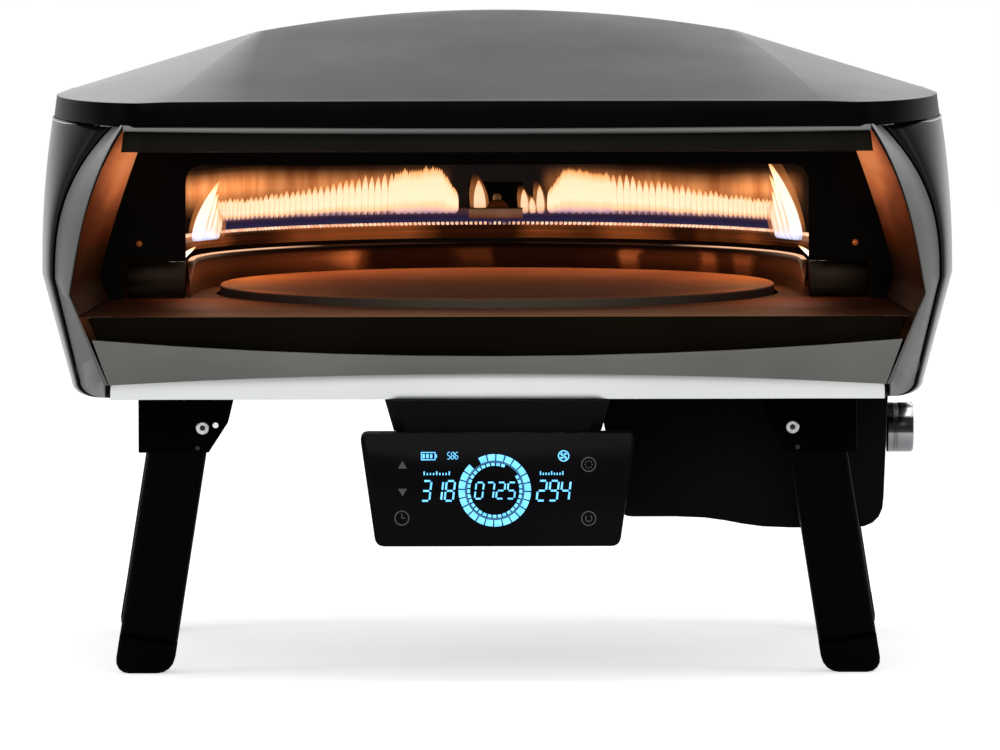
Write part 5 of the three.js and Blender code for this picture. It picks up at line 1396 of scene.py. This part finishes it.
def make_cheek_seals():
    """Dark plates behind the joint between each cheek's widest corner and the inner arch."""
    near_y = LINER_BACK_Y + LINER_SHEET
    outline = [
        (LINER_BACK_HALF + x * CHEEK_SEAL_HALF_WIDTH, LIP_CORNER_Z + z * CHEEK_SEAL_HEIGHT / 2)
        for x, z in ((-1, -1), (1, -1), (1, 1), (-1, 1))
    ]
    right = rounded_slab(outline, near_y, near_y + LINER_SHEET, SHEET_EDGE, 2)
    make_piece("mouth_cheek_seals", with_mirror(right), "heat")


# Cover

def cover_section(y, half):
    share = min(abs(y) / COVER_DEPTH, 1)
    rise = max(1 - share ** CROWN_POWER, EDGE_CROWN_SHARE)
    crease = CREASE_HALF + CREASE_SPREAD * share
    fall = COVER_FALL * max(y - COVER_FALL_START, 0) / (COVER_DEPTH - COVER_FALL_START)
    fold_z = RIM_Z + SKIRT_HEIGHT - fall
    dip = COVER_FRONT_DIP * max(COVER_DIP_RUN - COVER_DEPTH - y, 0) / COVER_DIP_RUN
    crown = COVER_RISE - SKIRT_HEIGHT + fall
    drop = COVER_RISE - SKIRT_HEIGHT - CREASE_RISE
    right = [(half + SKIRT_FLARE, RIM_Z - dip), (half, fold_z)]
    for part in steps(FACET_STEPS)[1:-1]:
        right.append((half + (crease - half) * part, fold_z + rise * (crown - drop) * part))
    for part in reversed(steps(CROWN_STEPS)):
        right.append((crease * part, fold_z + rise * (crown - drop * part ** 2)))
    left = [(-x, z) for x, z in reversed(right[:-1])]
    return [(x, y, z) for x, z in right + left]


def mark_creases(mesh, count):
    """Leaves the two hip creases and the top edge of the skirt sharp."""
    crease = FACET_STEPS + 1
    columns = {1, crease, count - 1 - crease, count - 2}
    sharp = mesh.attributes.new("sharp_edge", "BOOLEAN", "EDGE")
    for edge in mesh.edges:
        first, second = (corner % count for corner in edge.vertices)
        if first == second and first in columns:
            sharp.data[edge.index].value = True


def cover_stations(corner_depth):
    """Half widths of the cover at places from one end to its middle."""
    straight = COVER_DEPTH - corner_depth
    stations = []
    for cosine, sine in arc(12)[1:]:
        stations.append((straight + corner_depth * cosine, COVER_HALF - COVER_CORNER_WIDTH * (1 - sine)))
    return stations + [(straight * (1 - share), COVER_HALF) for share in steps(10)[1:]]


def make_cover():
    stations = [(-reach, half) for reach, half in cover_stations(COVER_FRONT_CORNER)]
    stations += list(reversed(cover_stations(COVER_REAR_CORNER)[:-1]))
    rows = [cover_section(y, half) for y, half in stations]
    count = len(rows[0])
    first = (len(rows) - 1) * count
    faces = [tuple(reversed(corners)) for corners in grid_faces(len(rows), count)]
    faces += [tuple(range(count)), tuple(reversed(range(first, first + count)))]
    shell = ([point for row in rows for point in row], faces)
    cover = make_piece("top_cover_shell", shell, "cover", ("top_cover",))
    cover.modifiers.clear()
    mark_creases(cover.data, count)
    second_look(cover.data, "skirt", lambda face: on_skirt(face, count))
    modify(cover, "sheet", "SOLIDIFY", thickness=SHELL_SHEET * MM, offset=-1, use_even_offset=True)
    soften(cover, COVER_EDGE)


def on_skirt(face, count):
    columns = sorted({corner % count for corner in face.vertices})
    return len(columns) > 2 or columns in ([0, 1], [count - 2, count - 1])


# Baking chamber, stone and burner

def make_chamber():
    front_y = LINER_BACK_Y + LINER_SHEET + SEAT_GAP * 2
    plan = [(CHAMBER_HALF, front_y)]
    plan += [(CHAMBER_HALF * cosine, CHAMBER_HALF * sine) for cosine, sine in arc(120, 0, HALF_TURN)]
    plan.append((-CHAMBER_HALF, front_y))
    low_z, high_z = DECK_Z + SEAT_GAP, DECK_Z + CHAMBER_RISE - SEAT_GAP
    middle_z = (low_z + high_z) / 2
    rows = [[(x, y, z) for x, y in plan] for z in (low_z, middle_z, high_z)]
    sheet = bent_sheet(rows, LINER_SHEET, (0, 0, middle_z))
    make_piece("chamber_wall_sheet", sheet, "wall", ("chamber_wall",))


def make_stone():
    top_z = DECK_Z + STONE_RISE
    low_z = top_z - STONE_THICKNESS
    profile = [(AXIS_RADIUS, low_z), (STONE_RADIUS - STONE_EDGE, low_z)]
    for cosine, sine in arc(4)[1:]:
        profile.append((STONE_RADIUS - STONE_EDGE * (1 - sine), low_z + STONE_EDGE * (1 - cosine)))
    for cosine, sine in arc(4):
        profile.append((STONE_RADIUS - STONE_EDGE * (1 - cosine), top_z - STONE_EDGE * (1 - sine)))
    profile += [(STONE_RADIUS * share, top_z) for share in STONE_RING_SHARES]
    profile.append((AXIS_RADIUS, top_z))
    slab = moved(turned(profile, 128), (0, STONE_Y, 0))
    make_piece("pizza_stone_slab", slab, "stone", ("pizza_stone",), "turntable")


def make_burner():
    run = STONE_Y - BURNER_LEG_Y
    path = [(BURNER_RADIUS, BURNER_LEG_Y + run * share, BURNER_Z) for share in steps(8)[:-1]]
    for cosine, sine in arc(140, 0, HALF_TURN):
        path.append((BURNER_RADIUS * cosine, STONE_Y + BURNER_RADIUS * sine, BURNER_Z))
    path += [(-BURNER_RADIUS, STONE_Y - run * share, BURNER_Z) for share in steps(8)[1:]]
    tube = bar_along(path, BURNER_TUBE, 20)
    make_piece("burner_tube_bar", tube, "burner", ("burner_tube",))
    teeth = [port_tooth(*turn) for turn in arc(int(math.pi * BURNER_RADIUS / PORT_PITCH), 0, HALF_TURN)]
    # The port teeth glow as painted firelight.
    make_piece("burner_ports", join_parts(teeth), "ports")


def port_tooth(cosine, sine):
    """A small raised rib beside a port, across the top of the tube."""
    outward, along = Vector((cosine, sine, 0)), Vector((-sine, cosine, 0))
    centre = Vector((0, STONE_Y, BURNER_Z)) + outward * BURNER_RADIUS
    half = PORT_PITCH * PORT_WIDTH_SHARE
    low = math.sqrt(BURNER_TUBE ** 2 - PORT_REACH ** 2) - PORT_SINK
    rings = []
    for level, reach in ((low, PORT_REACH), (BURNER_TUBE + PORT_HEIGHT, PORT_REACH * PORT_TOP_SHARE)):
        rings.append([
            centre + outward * (out * reach) + along * (side * half) + Vector((0, 0, level))
            for out, side in ((-1, -1), (1, -1), (1, 1), (-1, 1))
        ])
    return loft(rings)


def guard_profile(high, flare):
    """(out, up) pairs: a low wall whose top rolls outwards."""
    pairs = [(0, 0), (0, high * 0.35), (0, high * 0.7), (0, high - GUARD_ROLL)]
    return pairs + [(flare * (1 - cosine), high - GUARD_ROLL * (1 - sine)) for cosine, sine in arc(6)[1:]]


def make_guard():
    foot_z = DECK_Z + SEAT_GAP
    ends = []
    for share in steps(14)[:-1]:
        y = GUARD_FRONT_Y + (STONE_Y - GUARD_FRONT_Y) * share
        ease = math.sin(share ** 0.7 * QUARTER_TURN)
        high = GUARD_HEIGHT * (GUARD_LEAST_SHARE + (1 - GUARD_LEAST_SHARE) * ease)
        reach = GUARD_RADIUS + GUARD_FOOT_FLARE * (1 - share)
        profile = guard_profile(high, GUARD_FLARE * min(share * 1.6, 1))
        ends.append([(reach + out, y, foot_z + up) for out, up in profile])
    bend = []
    for cosine, sine in arc(110, 0, HALF_TURN):
        profile = [(GUARD_RADIUS + out, up) for out, up in guard_profile(GUARD_HEIGHT, GUARD_FLARE)]
        bend.append([(reach * cosine, STONE_Y + reach * sine, foot_z + up) for reach, up in profile])
    rows = ends + bend + [[(-x, y, z) for x, y, z in row] for row in reversed(ends)]
    rail = bent_sheet(rows, -LINER_SHEET / 2, (0, STONE_Y, DECK_Z))
    make_piece("flame_guard_rail", rail, "guard", ("flame_guard",))


def curve_point(before, here, following, after, share):
    """A point of the smooth curve through four knots, between the middle two."""
    return 0.5 * (
        2 * here
        + (following - before) * share
        + (2 * before - 5 * here + 4 * following - after) * share ** 2
        + (3 * here - before - 3 * following + after) * share ** 3
    )


def make_probe_wire():
    knots = [Vector(knot) for knot in PROBE_KNOTS]
    path = []
    for four in zip(knots[:1] + knots[:-2], knots[:-1], knots[1:], knots[2:] + knots[-1:]):
        path += [curve_point(*four, share) for share in steps(6)[:-1]]
    wire = bar_along(path + knots[-1:], PROBE_RADIUS, 12, PROBE_GUIDE)
    make_piece("probe_wire", wire, "bright_steel")


def make_shelf():
    """The front of the igniter's shelf, bright with painted firelight, and the round shield behind it, with
    painted glints.
    """
    left, right = span("igniter_bracket", "x")
    front_y = span("igniter_bracket", "y")[0] - SHELF_PROUD
    front = [(left, SHELF_LOW_Z), (right, SHELF_LOW_Z), (right, SHELF_TOP_Z), (left, SHELF_TOP_Z)]
    plate_mesh = rounded_slab(front, front_y - SHELF_SHEET, front_y, SHELF_EDGE, 3)
    make_piece("igniter_shelf_face", plate_mesh, "lit_plate")
    shield = [
        (SHIELD_X + SHIELD_HALF * cosine, SHELF_TOP_Z + SHELF_PROUD + SHIELD_RISE * sine)
        for cosine, sine in arc(20, 0, HALF_TURN)
    ]
    near_y = front_y + SHIELD_BACK
    shield_mesh = rounded_slab(shield, near_y, near_y + SHELF_SHEET, SHELF_EDGE, 3)
    make_piece("igniter_shield", shield_mesh, "burner")


# Legs

def leg_point(along, across):
    out = LEG_OFFSET + across
    return (
        PIVOT_HALF + along * math.sin(LEG_SPLAY) + out * math.cos(LEG_SPLAY),
        PIVOT_Z - along * math.cos(LEG_SPLAY) + out * math.sin(LEG_SPLAY),
    )


def ground_reach(across):
    return (PIVOT_Z + (LEG_OFFSET + across) * math.sin(LEG_SPLAY)) / math.cos(LEG_SPLAY)


def foot_start():
    """How far along the leg its foot begins."""
    return (PIVOT_Z + LEG_OFFSET * math.sin(LEG_SPLAY) - FOOT_HEIGHT) / math.cos(LEG_SPLAY)


def leg_outline():
    half, end = LEG_WIDTH / 2, foot_start()
    stop_half = BRACKET_OUTER - BRACKET_SHEET - SEAT_GAP
    head = stop_half - PIVOT_HALF
    heel_x, heel_z = leg_point(LEG_HEEL + LEG_HEEL_STEP, half)
    outline = [(stop_half, heel_z + LEG_HEEL_STEP)]
    for radius, turns in ((head, arc(4, 0, math.asin(LEG_HEAD / head))), (LEG_HEAD, arc(8, QUARTER_TURN))):
        outline += [(PIVOT_HALF + radius * cosine, PIVOT_Z + radius * sine) for cosine, sine in turns]
    outline += [leg_point(LEG_HEEL, -half), leg_point(end, -half), leg_point(end, half)]
    return outline + [(heel_x, heel_z)]


def foot_outline():
    half, end = LEG_WIDTH / 2 + FOOT_OVERLAP, foot_start() + SEAT_GAP
    corner = [(FOOT_CORNER * (1 - cosine), FOOT_CORNER * (1 - sine)) for cosine, sine in arc(4)]
    sole = [(-half + inset, drop) for inset, drop in corner]
    sole += [(half - inset, drop) for inset, drop in reversed(corner)]
    outline = [leg_point(ground_reach(across) - drop, across) for across, drop in sole]
    return [leg_point(end, -half)] + outline + [leg_point(end, half)]


def bolt_head():
    """A domed screw head with a hexagon socket, turned about +Y and facing -Y."""
    turns = ring(BOLT_SEGMENTS)
    rings = [
        [(radius * cosine, depth, radius * sine) for cosine, sine in turns] for radius, depth in BOLT_RINGS
    ]
    sixth = FULL_TURN / 6
    for depth in SOCKET_DEPTHS:
        socket = []
        for place, (cosine, sine) in enumerate(turns):
            lean = (place / BOLT_SEGMENTS * FULL_TURN + sixth / 2) % sixth - sixth / 2
            radius = SOCKET_HALF * math.cos(sixth / 2) / math.cos(lean)
            socket.append((radius * cosine, depth, radius * sine))
        rings.append(socket)
    return loft(rings)


def pivot_bolt(head_y):
    """Both heads of a pivot bolt."""
    points, faces = bolt_head()
    front = [(x + PIVOT_HALF, depth - head_y, z + PIVOT_Z) for x, depth, z in points]
    back = [(x, -depth, z) for x, depth, z in front]
    return join_parts([(front, faces), (back, [tuple(reversed(face)) for face in faces])])


def make_legs():
    half_depth = LEG_DEPTH / 2
    foot_half = half_depth + FOOT_OVERLAP
    head_y = half_depth + PANEL_GAP + BRACKET_SHEET + SEAT_GAP + BOLT_PROUD
    leg = rounded_slab(leg_outline(), -half_depth, half_depth, LEG_ROUNDING)
    foot = rounded_slab(foot_outline(), -foot_half, foot_half, LEG_ROUNDING)
    for place in LEGS:
        body = f"folding_leg_{place}"
        place_leg("leg", "bar", place, leg, "leg", body)
        place_leg("leg_foot", "pad", place, foot, "rubber", body)
        place_leg("pivot_bolt", "heads", place, pivot_bolt(head_y), "bolt", ROOT)
        make_sockets(place, head_y - SOCKET_FLOOR)


def place_leg(node, part, place, body_mesh, look, body):
    """One of the four from the shape of the front right one, which stands about its own middle."""
    sign, y, spread = LEGS[place]
    points, faces = body_mesh
    points = [(sign * (x + spread), depth + y, z) for x, depth, z in points]
    if sign < 0:
        faces = [tuple(reversed(corners)) for corners in faces]
    make_piece(f"{node}_{place}_{part}", (points, faces), look, (f"{node}_{place}",), body)


def make_sockets(place, depth):
    """Painted shade: dark floors in the two hexagon sockets of a pivot bolt, for the shade inside them."""
    sign, y, spread = LEGS[place]
    middle = sign * (PIVOT_HALF + spread)
    hexagon = [
        (middle + SOCKET_RADIUS * cosine, PIVOT_Z + SOCKET_RADIUS * sine)
        for cosine, sine in arc(6, FULL_TURN / 12, FULL_TURN)[:-1]
    ]
    floors = []
    for facing in (-1, 1):
        levels = (y + facing * depth, y + facing * (depth - SOCKET_SHEET))
        floors.append(loft([[(x, level, z) for x, z in hexagon] for level in levels]))
    make_piece(f"pivot_bolt_{place}_sockets", join_parts(floors), "socket")


# Small fastenings and the knob

def dome_head(radius, rise):
    profile = [(radius, SCREW_SEAT), (radius, -SCREW_RISE_START)]
    for cosine, sine in arc(5)[1:]:
        profile.append((max(radius * cosine, SCREW_TIP), -SCREW_RISE_START - rise * sine))
    return turned(profile, 24, "Y")


def make_fastenings():
    arches, rears = [], []
    for side in (-1, 1):
        arches.append(moved(dome_head(*ARCH_SCREW), (side * ARCH_SCREW_HALF, LINER_BACK_Y, ARCH_SCREW_Z)))
        place = (side * BRACKET_SCREW_HALF, -BRACKET_FRONT, BRACKET_SCREW_Z)
        rears.append(moved(dome_head(*BRACKET_SCREW), place))
    pin = moved(dome_head(*LOCK_PIN), (-LOCK_HALF, LOCK_PIN[1] - BRACKET_FRONT, LOCK_Z))
    low_z, high_z = span("rear_panel", "z")
    far_x = span("rear_panel", "x")[1] - REAR_SCREW_INSET
    points, faces = dome_head(*REAR_SCREW)
    head = ([(-x, -y, z) for x, y, z in points], faces)
    for side in (-1, 1):
        for share in REAR_SCREW_SHARES:
            rears.append(moved(head, (side * far_x, REAR_Y, low_z + (high_z - low_z) * share)))
    # The arch screws take the burner's look: painted glints of firelight that glow.
    make_piece("arch_screws", join_parts(arches), "burner")
    make_piece("bracket_pins", pin, "bright_steel")
    make_piece("rear_screws", join_parts(rears), "socket")


def knob_profile(near, far, radius):
    profile = [(KNOB_AXIS_RADIUS, near), (radius - KNOB_NEAR_EDGE[0][0], near)]
    profile += [(radius - inset, near + along) for inset, along in KNOB_NEAR_EDGE[1:]]
    for groove in KNOB_GROOVES:
        profile += [(radius - inset, near + groove + along) for inset, along in KNOB_GROOVE]
    profile += [(radius - inset, far - along) for inset, along in KNOB_FAR_EDGE]
    return profile + [(radius * KNOB_DISH_SHARE, far - KNOB_DISH), (KNOB_AXIS_RADIUS, far - KNOB_DISH)]


def make_knob():
    near, far = span("control_knob", "x")
    low_z, high_z = span("control_knob", "z")
    radius, centre = (high_z - low_z) / 2, (0, sum(span("control_knob", "y")) / 2, (low_z + high_z) / 2)
    cap_mesh = moved(turned(knob_profile(near, far, radius), 96, "X"), centre)
    cap = make_piece("control_knob_cap", cap_mesh, "chrome", ("control_knob",), "knob")
    second_look(cap.data, "bright_steel", lambda face: face.normal.x > KNOB_FACE_TURN)
    side = [(far - along, radius - inset) for inset, along in KNOB_MARK]
    mark = loft([[(x, y, z) for x, z in side] for y in (-KNOB_MARK_HALF, KNOB_MARK_HALF)])
    make_piece("knob_mark", moved(mark, centre), "plastic", body="knob")


# Flames

def tongue(base, height, width, lean, rows=12, sides=8, shoulder=0.5):
    """A closed tongue of flame: even from its root up to the shoulder, then drawn out to a tip."""
    base, lean = Vector(base), Vector(lean)
    rings, shares = [], []
    for share in steps(rows):
        if share < shoulder:
            part = min(0.72 + share * 4, 1)
        else:
            part = math.cos((share - shoulder) / (1 - shoulder) * QUARTER_TURN) ** 0.8
        radius = max(width / 2 * part, TONGUE_TIP)
        centre = base + Vector((0, 0, height * share)) + lean * share ** 1.5
        rings.append([centre + Vector((radius * cosine, radius * sine, 0)) for cosine, sine in ring(sides)])
        shares += [share] * sides
    return *loft(rings), shares


def flame_piece(name, tongues, look):
    piece = make_piece(name, join_parts([part[:2] for part in tongues]), look)
    attribute = piece.data.attributes.new("flame_height", "FLOAT", "POINT")
    attribute.data.foreach_set("value", [share for part in tongues for share in part[2]])
    piece.visible_shadow = False


def burner_place(along):
    """A point over the tube's middle and the way inwards, from the right end round to the left."""
    leg = STONE_Y - BURNER_LEG_Y
    bend = math.pi * BURNER_RADIUS
    if along < leg:
        return (BURNER_RADIUS, BURNER_LEG_Y + along), (-1, 0)
    if along > leg + bend:
        return (-BURNER_RADIUS, STONE_Y - (along - leg - bend)), (1, 0)
    angle = (along - leg) / BURNER_RADIUS
    cosine, sine = math.cos(angle), math.sin(angle)
    return (BURNER_RADIUS * cosine, STONE_Y + BURNER_RADIUS * sine), (-cosine, -sine)


def gap_distance(x):
    """How far a flame is from the nearer side of the gap at the igniter."""
    return min(abs(x - side) for side in FLAME_GAP)


def flame_height_at(x, y):
    """Flames are low at the sides and stand highest beside the igniter, where each bank rounds off."""
    if y < FLAME_REAR_Y:
        return FLAME_LOW
    high = FLAME_BASE + FLAME_PEAK * max(1 - max(abs(x) - FLAME_PEAK_HALF, 0) / FLAME_PEAK_RUN, 0)
    return high * min(BANK_END_SHARE + gap_distance(x) / BANK_END_RUN, 1)


def make_flames():
    length = math.pi * BURNER_RADIUS + 2 * (STONE_Y - BURNER_LEG_Y)
    base_z = BURNER_Z + BURNER_TUBE + PORT_HEIGHT
    body, haze = flame_banks(length, base_z + FLAME_LIFT, base_z + FLAME_LIFT * 0.8)
    band = []
    for place in range(int(length / (FLAME_PITCH / 2))):
        (x, y), inwards = burner_place(place * FLAME_PITCH / 2)
        if abs(x) <= FLAME_REACH:
            size = (FLAME_LIFT * ROOT_HEIGHT_SHARE, ROOT_WIDTH)
            band.append(tongue((x, y, base_z - ROOT_DROP), *size, (*inwards, 0), 5, 6))
    add_end_flames(haze, base_z)
    add_igniter_flames(body, haze, band, base_z)
    flame_piece("flame_tongues", body, "flame_core")
    flame_piece("flame_haze", haze, "flame_haze")
    flame_piece("flame_roots", band, "flame_root")


def flame_banks(length, z, haze_z):
    seeded = random.Random(FLAME_SEED)
    body, haze = [], []
    along = FLAME_END_MARGIN
    while along < length - FLAME_END_MARGIN:
        (x, y), (inward_x, inward_y) = burner_place(along)
        along += FLAME_PITCH
        if abs(x) > FLAME_REACH or (y > STONE_Y and FLAME_GAP[0] < x < FLAME_GAP[1]):
            continue
        high = flame_height_at(x, y) * seeded.uniform(0.95, 1.05)
        drift = seeded.uniform(0.05, 0.12) * high
        lean = (inward_x * drift, inward_y * drift, 0)
        near = gap_distance(x) < BANK_END_WIDTH and y > STONE_Y
        width = FLAME_PITCH * (NEAR_WIDTH_SHARE if near else FAR_WIDTH_SHARE)
        body.append(tongue((x, y, z), high, width, lean, shoulder=0.45))
        if near:
            add_between(body, x, y, z, lean)
        haze_size = (high * HAZE_HEIGHT_SHARE, FLAME_PITCH * HAZE_WIDTH_SHARE)
        haze.append(tongue((x, y + HAZE_BACK, haze_z), *haze_size, lean, 8, 6))
    return body, haze


def add_between(body, x, y, z, lean):
    """A second row that closes the steps at the round end of a bank."""
    for step in (-FLAME_PITCH / 3, FLAME_PITCH / 3):
        high = flame_height_at(x + step, y) - BETWEEN_BACK
        spot = (x + step, y - BETWEEN_BACK, z + BETWEEN_RISE)
        body.append(tongue(spot, high, FLAME_PITCH * BETWEEN_WIDTH_SHARE, lean, shoulder=0.4))


def add_end_flames(haze, base_z):
    """Tall flames that lean inwards from both ends of the tube, with pale blue licks below."""
    hot = []
    for side, tall in END_HEIGHTS:
        for step, (share, width) in enumerate(END_SHARES_AND_WIDTHS):
            high = tall * share
            x = side * (BURNER_RADIUS - END_INSET - step * END_STEP)
            spot = (x, END_FRONT_Y + step * END_STEP_Y, base_z + END_LIFT)
            lean = (-side * high * END_LEAN_SHARE, END_LEAN_BACK, 0)
            hot.append(tongue(spot, high, width, lean, 16, 12, 0.3))
            haze.append(tongue(spot, high * END_HAZE_SHARE, width * HAZE_WIDTH_SHARE, lean, 12, 8, 0.3))
        for inset, drop, high, width, reach in LICKS:
            spot = (side * (BURNER_RADIUS - inset), LICK_Y, base_z - drop)
            hot.append(tongue(spot, high, width, (-side * reach, 0, 0), 8, 8))
    flame_piece("flame_ends", hot, "flame_hot")


def arc_point(x, inset, z):
    """A point over the burner's bend at a place across, set in from its middle line."""
    angle = math.acos(x / BURNER_RADIUS)
    radius = BURNER_RADIUS - inset
    return radius * math.cos(angle), STONE_Y + radius * math.sin(angle), z


def add_igniter_flames(body, haze, band, base_z):
    for x, high, width in IGNITER_FLAMES:
        spot = arc_point(x, 0, base_z + IGNITER_LIFT)
        body.append(tongue(spot, high, width, IGNITER_LEAN, 12, 8, 0.3))
        haze_size = (high * IGNITER_HAZE_SHARE, width * HAZE_WIDTH_SHARE)
        haze.append(tongue(spot, *haze_size, IGNITER_HAZE_LEAN, 10, 8, 0.3))
    for x in PILOTS_X:
        spot = arc_point(x, PILOT_INSET, base_z - PILOT_DROP)
        band.append(tongue(spot, PILOT_HEIGHT, PILOT_WIDTH, (0, 0, 0), 6, 8, 0.3))


# Display

def on_glass(u, v):
    """The place on the glass of a point of the photograph."""
    across, down = PHOTO_POINT
    return (u - across) / PHOTO_SCALE[0], PHOTO_POINT_Z + (down - v) / PHOTO_SCALE[1]


def plate(outline):
    """A thin plate on the glass from an outline of (x, z) points."""
    return loft([[(x, y, z) for x, z in outline] for y in (MARK_Y, MARK_Y + MARK_THICKNESS)])


def bar(start, end, width):
    (x1, z1), (x2, z2) = start, end
    length = math.hypot(x2 - x1, z2 - z1)
    across_x, across_z = -(z2 - z1) / length * width / 2, (x2 - x1) / length * width / 2
    return plate([
        (x1 + across_x, z1 + across_z), (x1 - across_x, z1 - across_z),
        (x2 - across_x, z2 - across_z), (x2 + across_x, z2 + across_z),
    ])


def ring_part(centre, radii, start=0, end=360, count=24):
    """Part of a ring as a strip of small plates; angles in degrees from the top, clockwise."""
    x, z = centre
    inner, outer = radii
    turns = arc(count, math.radians(start), math.radians(end - start))
    parts = []
    for near, far in zip(turns, turns[1:]):
        corners = ((inner, near), (outer, near), (outer, far), (inner, far))
        parts.append(plate([(x + radius * sine, z + radius * cosine) for radius, (cosine, sine) in corners]))
    return join_parts(parts)


def digit(mark, left, low, width, height, stroke):
    half, gap = height / 2, stroke * DIGIT_GAP_SHARE
    ends = {
        "a": ((gap, height), (width - gap, height)),
        "b": ((width, height - gap), (width, half + gap)),
        "c": ((width, half - gap), (width, gap)),
        "d": ((gap, 0), (width - gap, 0)),
        "e": ((0, half - gap), (0, gap)),
        "f": ((0, height - gap), (0, half + gap)),
        "g": ((gap, half), (width - gap, half)),
    }
    parts = []
    for name in DIGIT_BARS[mark]:
        start, end = ((left + x + z * DIGIT_SLANT, low + z) for x, z in ends[name])
        parts.append(bar(start, end, stroke))
    return parts


def number(marks, centre, full, height, stroke):
    """A row of seven-bar figures that fills a width about a centre."""
    x, z = on_glass(*centre)
    space = (full - height * DIGIT_SLANT) / (len(marks) * (DIGIT_WIDTH_SHARE + 1) - 1)
    width = space * DIGIT_WIDTH_SHARE
    parts = []
    for place, mark in enumerate(marks):
        parts += digit(mark, x - full / 2 + place * (width + space), z - height / 2, width, height, stroke)
    return parts


def lit_marks():
    parts = []
    for mark in NUMBERS:
        parts += number(*mark)
    for inner, outer, starts, first, last, strips in DIAL_BARS:
        for start in starts:
            parts.append(ring_part(on_glass(*DIAL), (inner, outer), start + first, start + last, strips))
    x, z = on_glass(*BATTERY)
    for start, end, stroke in BATTERY_BARS:
        parts.append(bar((x + start[0], z + start[1]), (x + end[0], z + end[1]), stroke))
    parts += fan_mark(on_glass(*FAN))
    for centre, full in SCALES:
        parts += small_bars(on_glass(*centre), full)
    return parts


def touch_marks():
    parts = []
    for spot, up in ARROWS:
        x, z = on_glass(*spot)
        foot_z = z - ARROW_FOOT * up
        parts.append(plate([(x - ARROW_HALF, foot_z), (x + ARROW_HALF, foot_z), (x, z + ARROW_TIP * up)]))
    for spot in (CLOCK, TURN_MARK, DOT_MARK):
        parts.append(ring_part(on_glass(*spot), BUTTON_RING, count=BUTTON_STRIPS))
    x, z = on_glass(*CLOCK)
    parts += [bar((x, z), (x + across, z + up), HAND_STROKE) for across, up in CLOCK_HANDS]
    parts.append(ring_part(on_glass(*TURN_MARK), TURN_RING, *TURN_ARC, TURN_STRIPS))
    x, z = on_glass(*DOT_MARK)
    for cosine, sine in ring(8):
        parts.append(ring_part((x + DOT_REACH * sine, z + DOT_REACH * cosine), DOT_RING, count=DOT_STRIPS))
    return parts


def fan_mark(centre):
    parts = [ring_part(centre, FAN_HUB, count=FAN_HUB_STRIPS)]
    parts.append(ring_part(centre, FAN_RIM, count=BUTTON_STRIPS))
    for blade in range(FAN_BLADES):
        for sweep in range(FAN_SWEEPS):
            reach = FAN_REACH + sweep * FAN_STEP
            start = blade * 360 / FAN_BLADES + sweep * FAN_TURN
            end = start + FAN_ARC - sweep * FAN_ARC_LOSS
            parts.append(ring_part(centre, (reach, reach + FAN_BLADE), start, end, FAN_STRIPS))
    return parts


def small_bars(centre, full):
    """A short generic scale of upright bars over the figures."""
    x, z = centre
    foot_z = z - SCALE_DROP
    parts = []
    for step, share in enumerate(steps(SCALE_BARS - 1)):
        bar_x = x + full * (share - 0.5)
        high = SCALE_HIGH if step % 4 == 0 else SCALE_LOW
        parts.append(bar((bar_x, foot_z), (bar_x, foot_z + high), SCALE_STROKE))
    return parts


def make_display():
    line = ring_part(on_glass(*DIAL), DIAL_LINE, count=DIAL_STRIPS)
    make_piece("display_lit_marks", join_parts(lit_marks()), "cyan")
    make_piece("display_faint_marks", line, "faint")
    make_piece("display_touch_marks", join_parts(touch_marks()), "dim")


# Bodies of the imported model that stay

def dress_nodes():
    for name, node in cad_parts.items():
        if name not in NODE_LOOKS:
            continue
        look, width = NODE_LOOKS[name]
        for slot in node.material_slots:
            slot.material = MATERIALS[look]
        soften(node, width)
        if name == "rear_panel":
            modify(node, "level", "WEIGHTED_NORMAL", keep_sharp=True)


make_materials()
make_camera()
make_world()
make_floor()
make_lamps()
make_cover()
make_shells()
make_rim_lines()
make_trim_bar()
make_cheeks()
make_deck_sides()
make_cheek_seals()
make_chamber()
make_stone()
make_burner()
make_guard()
make_legs()
make_knob()
make_fastenings()
make_probe_wire()
make_shelf()
make_flames()
make_display()
dress_nodes()
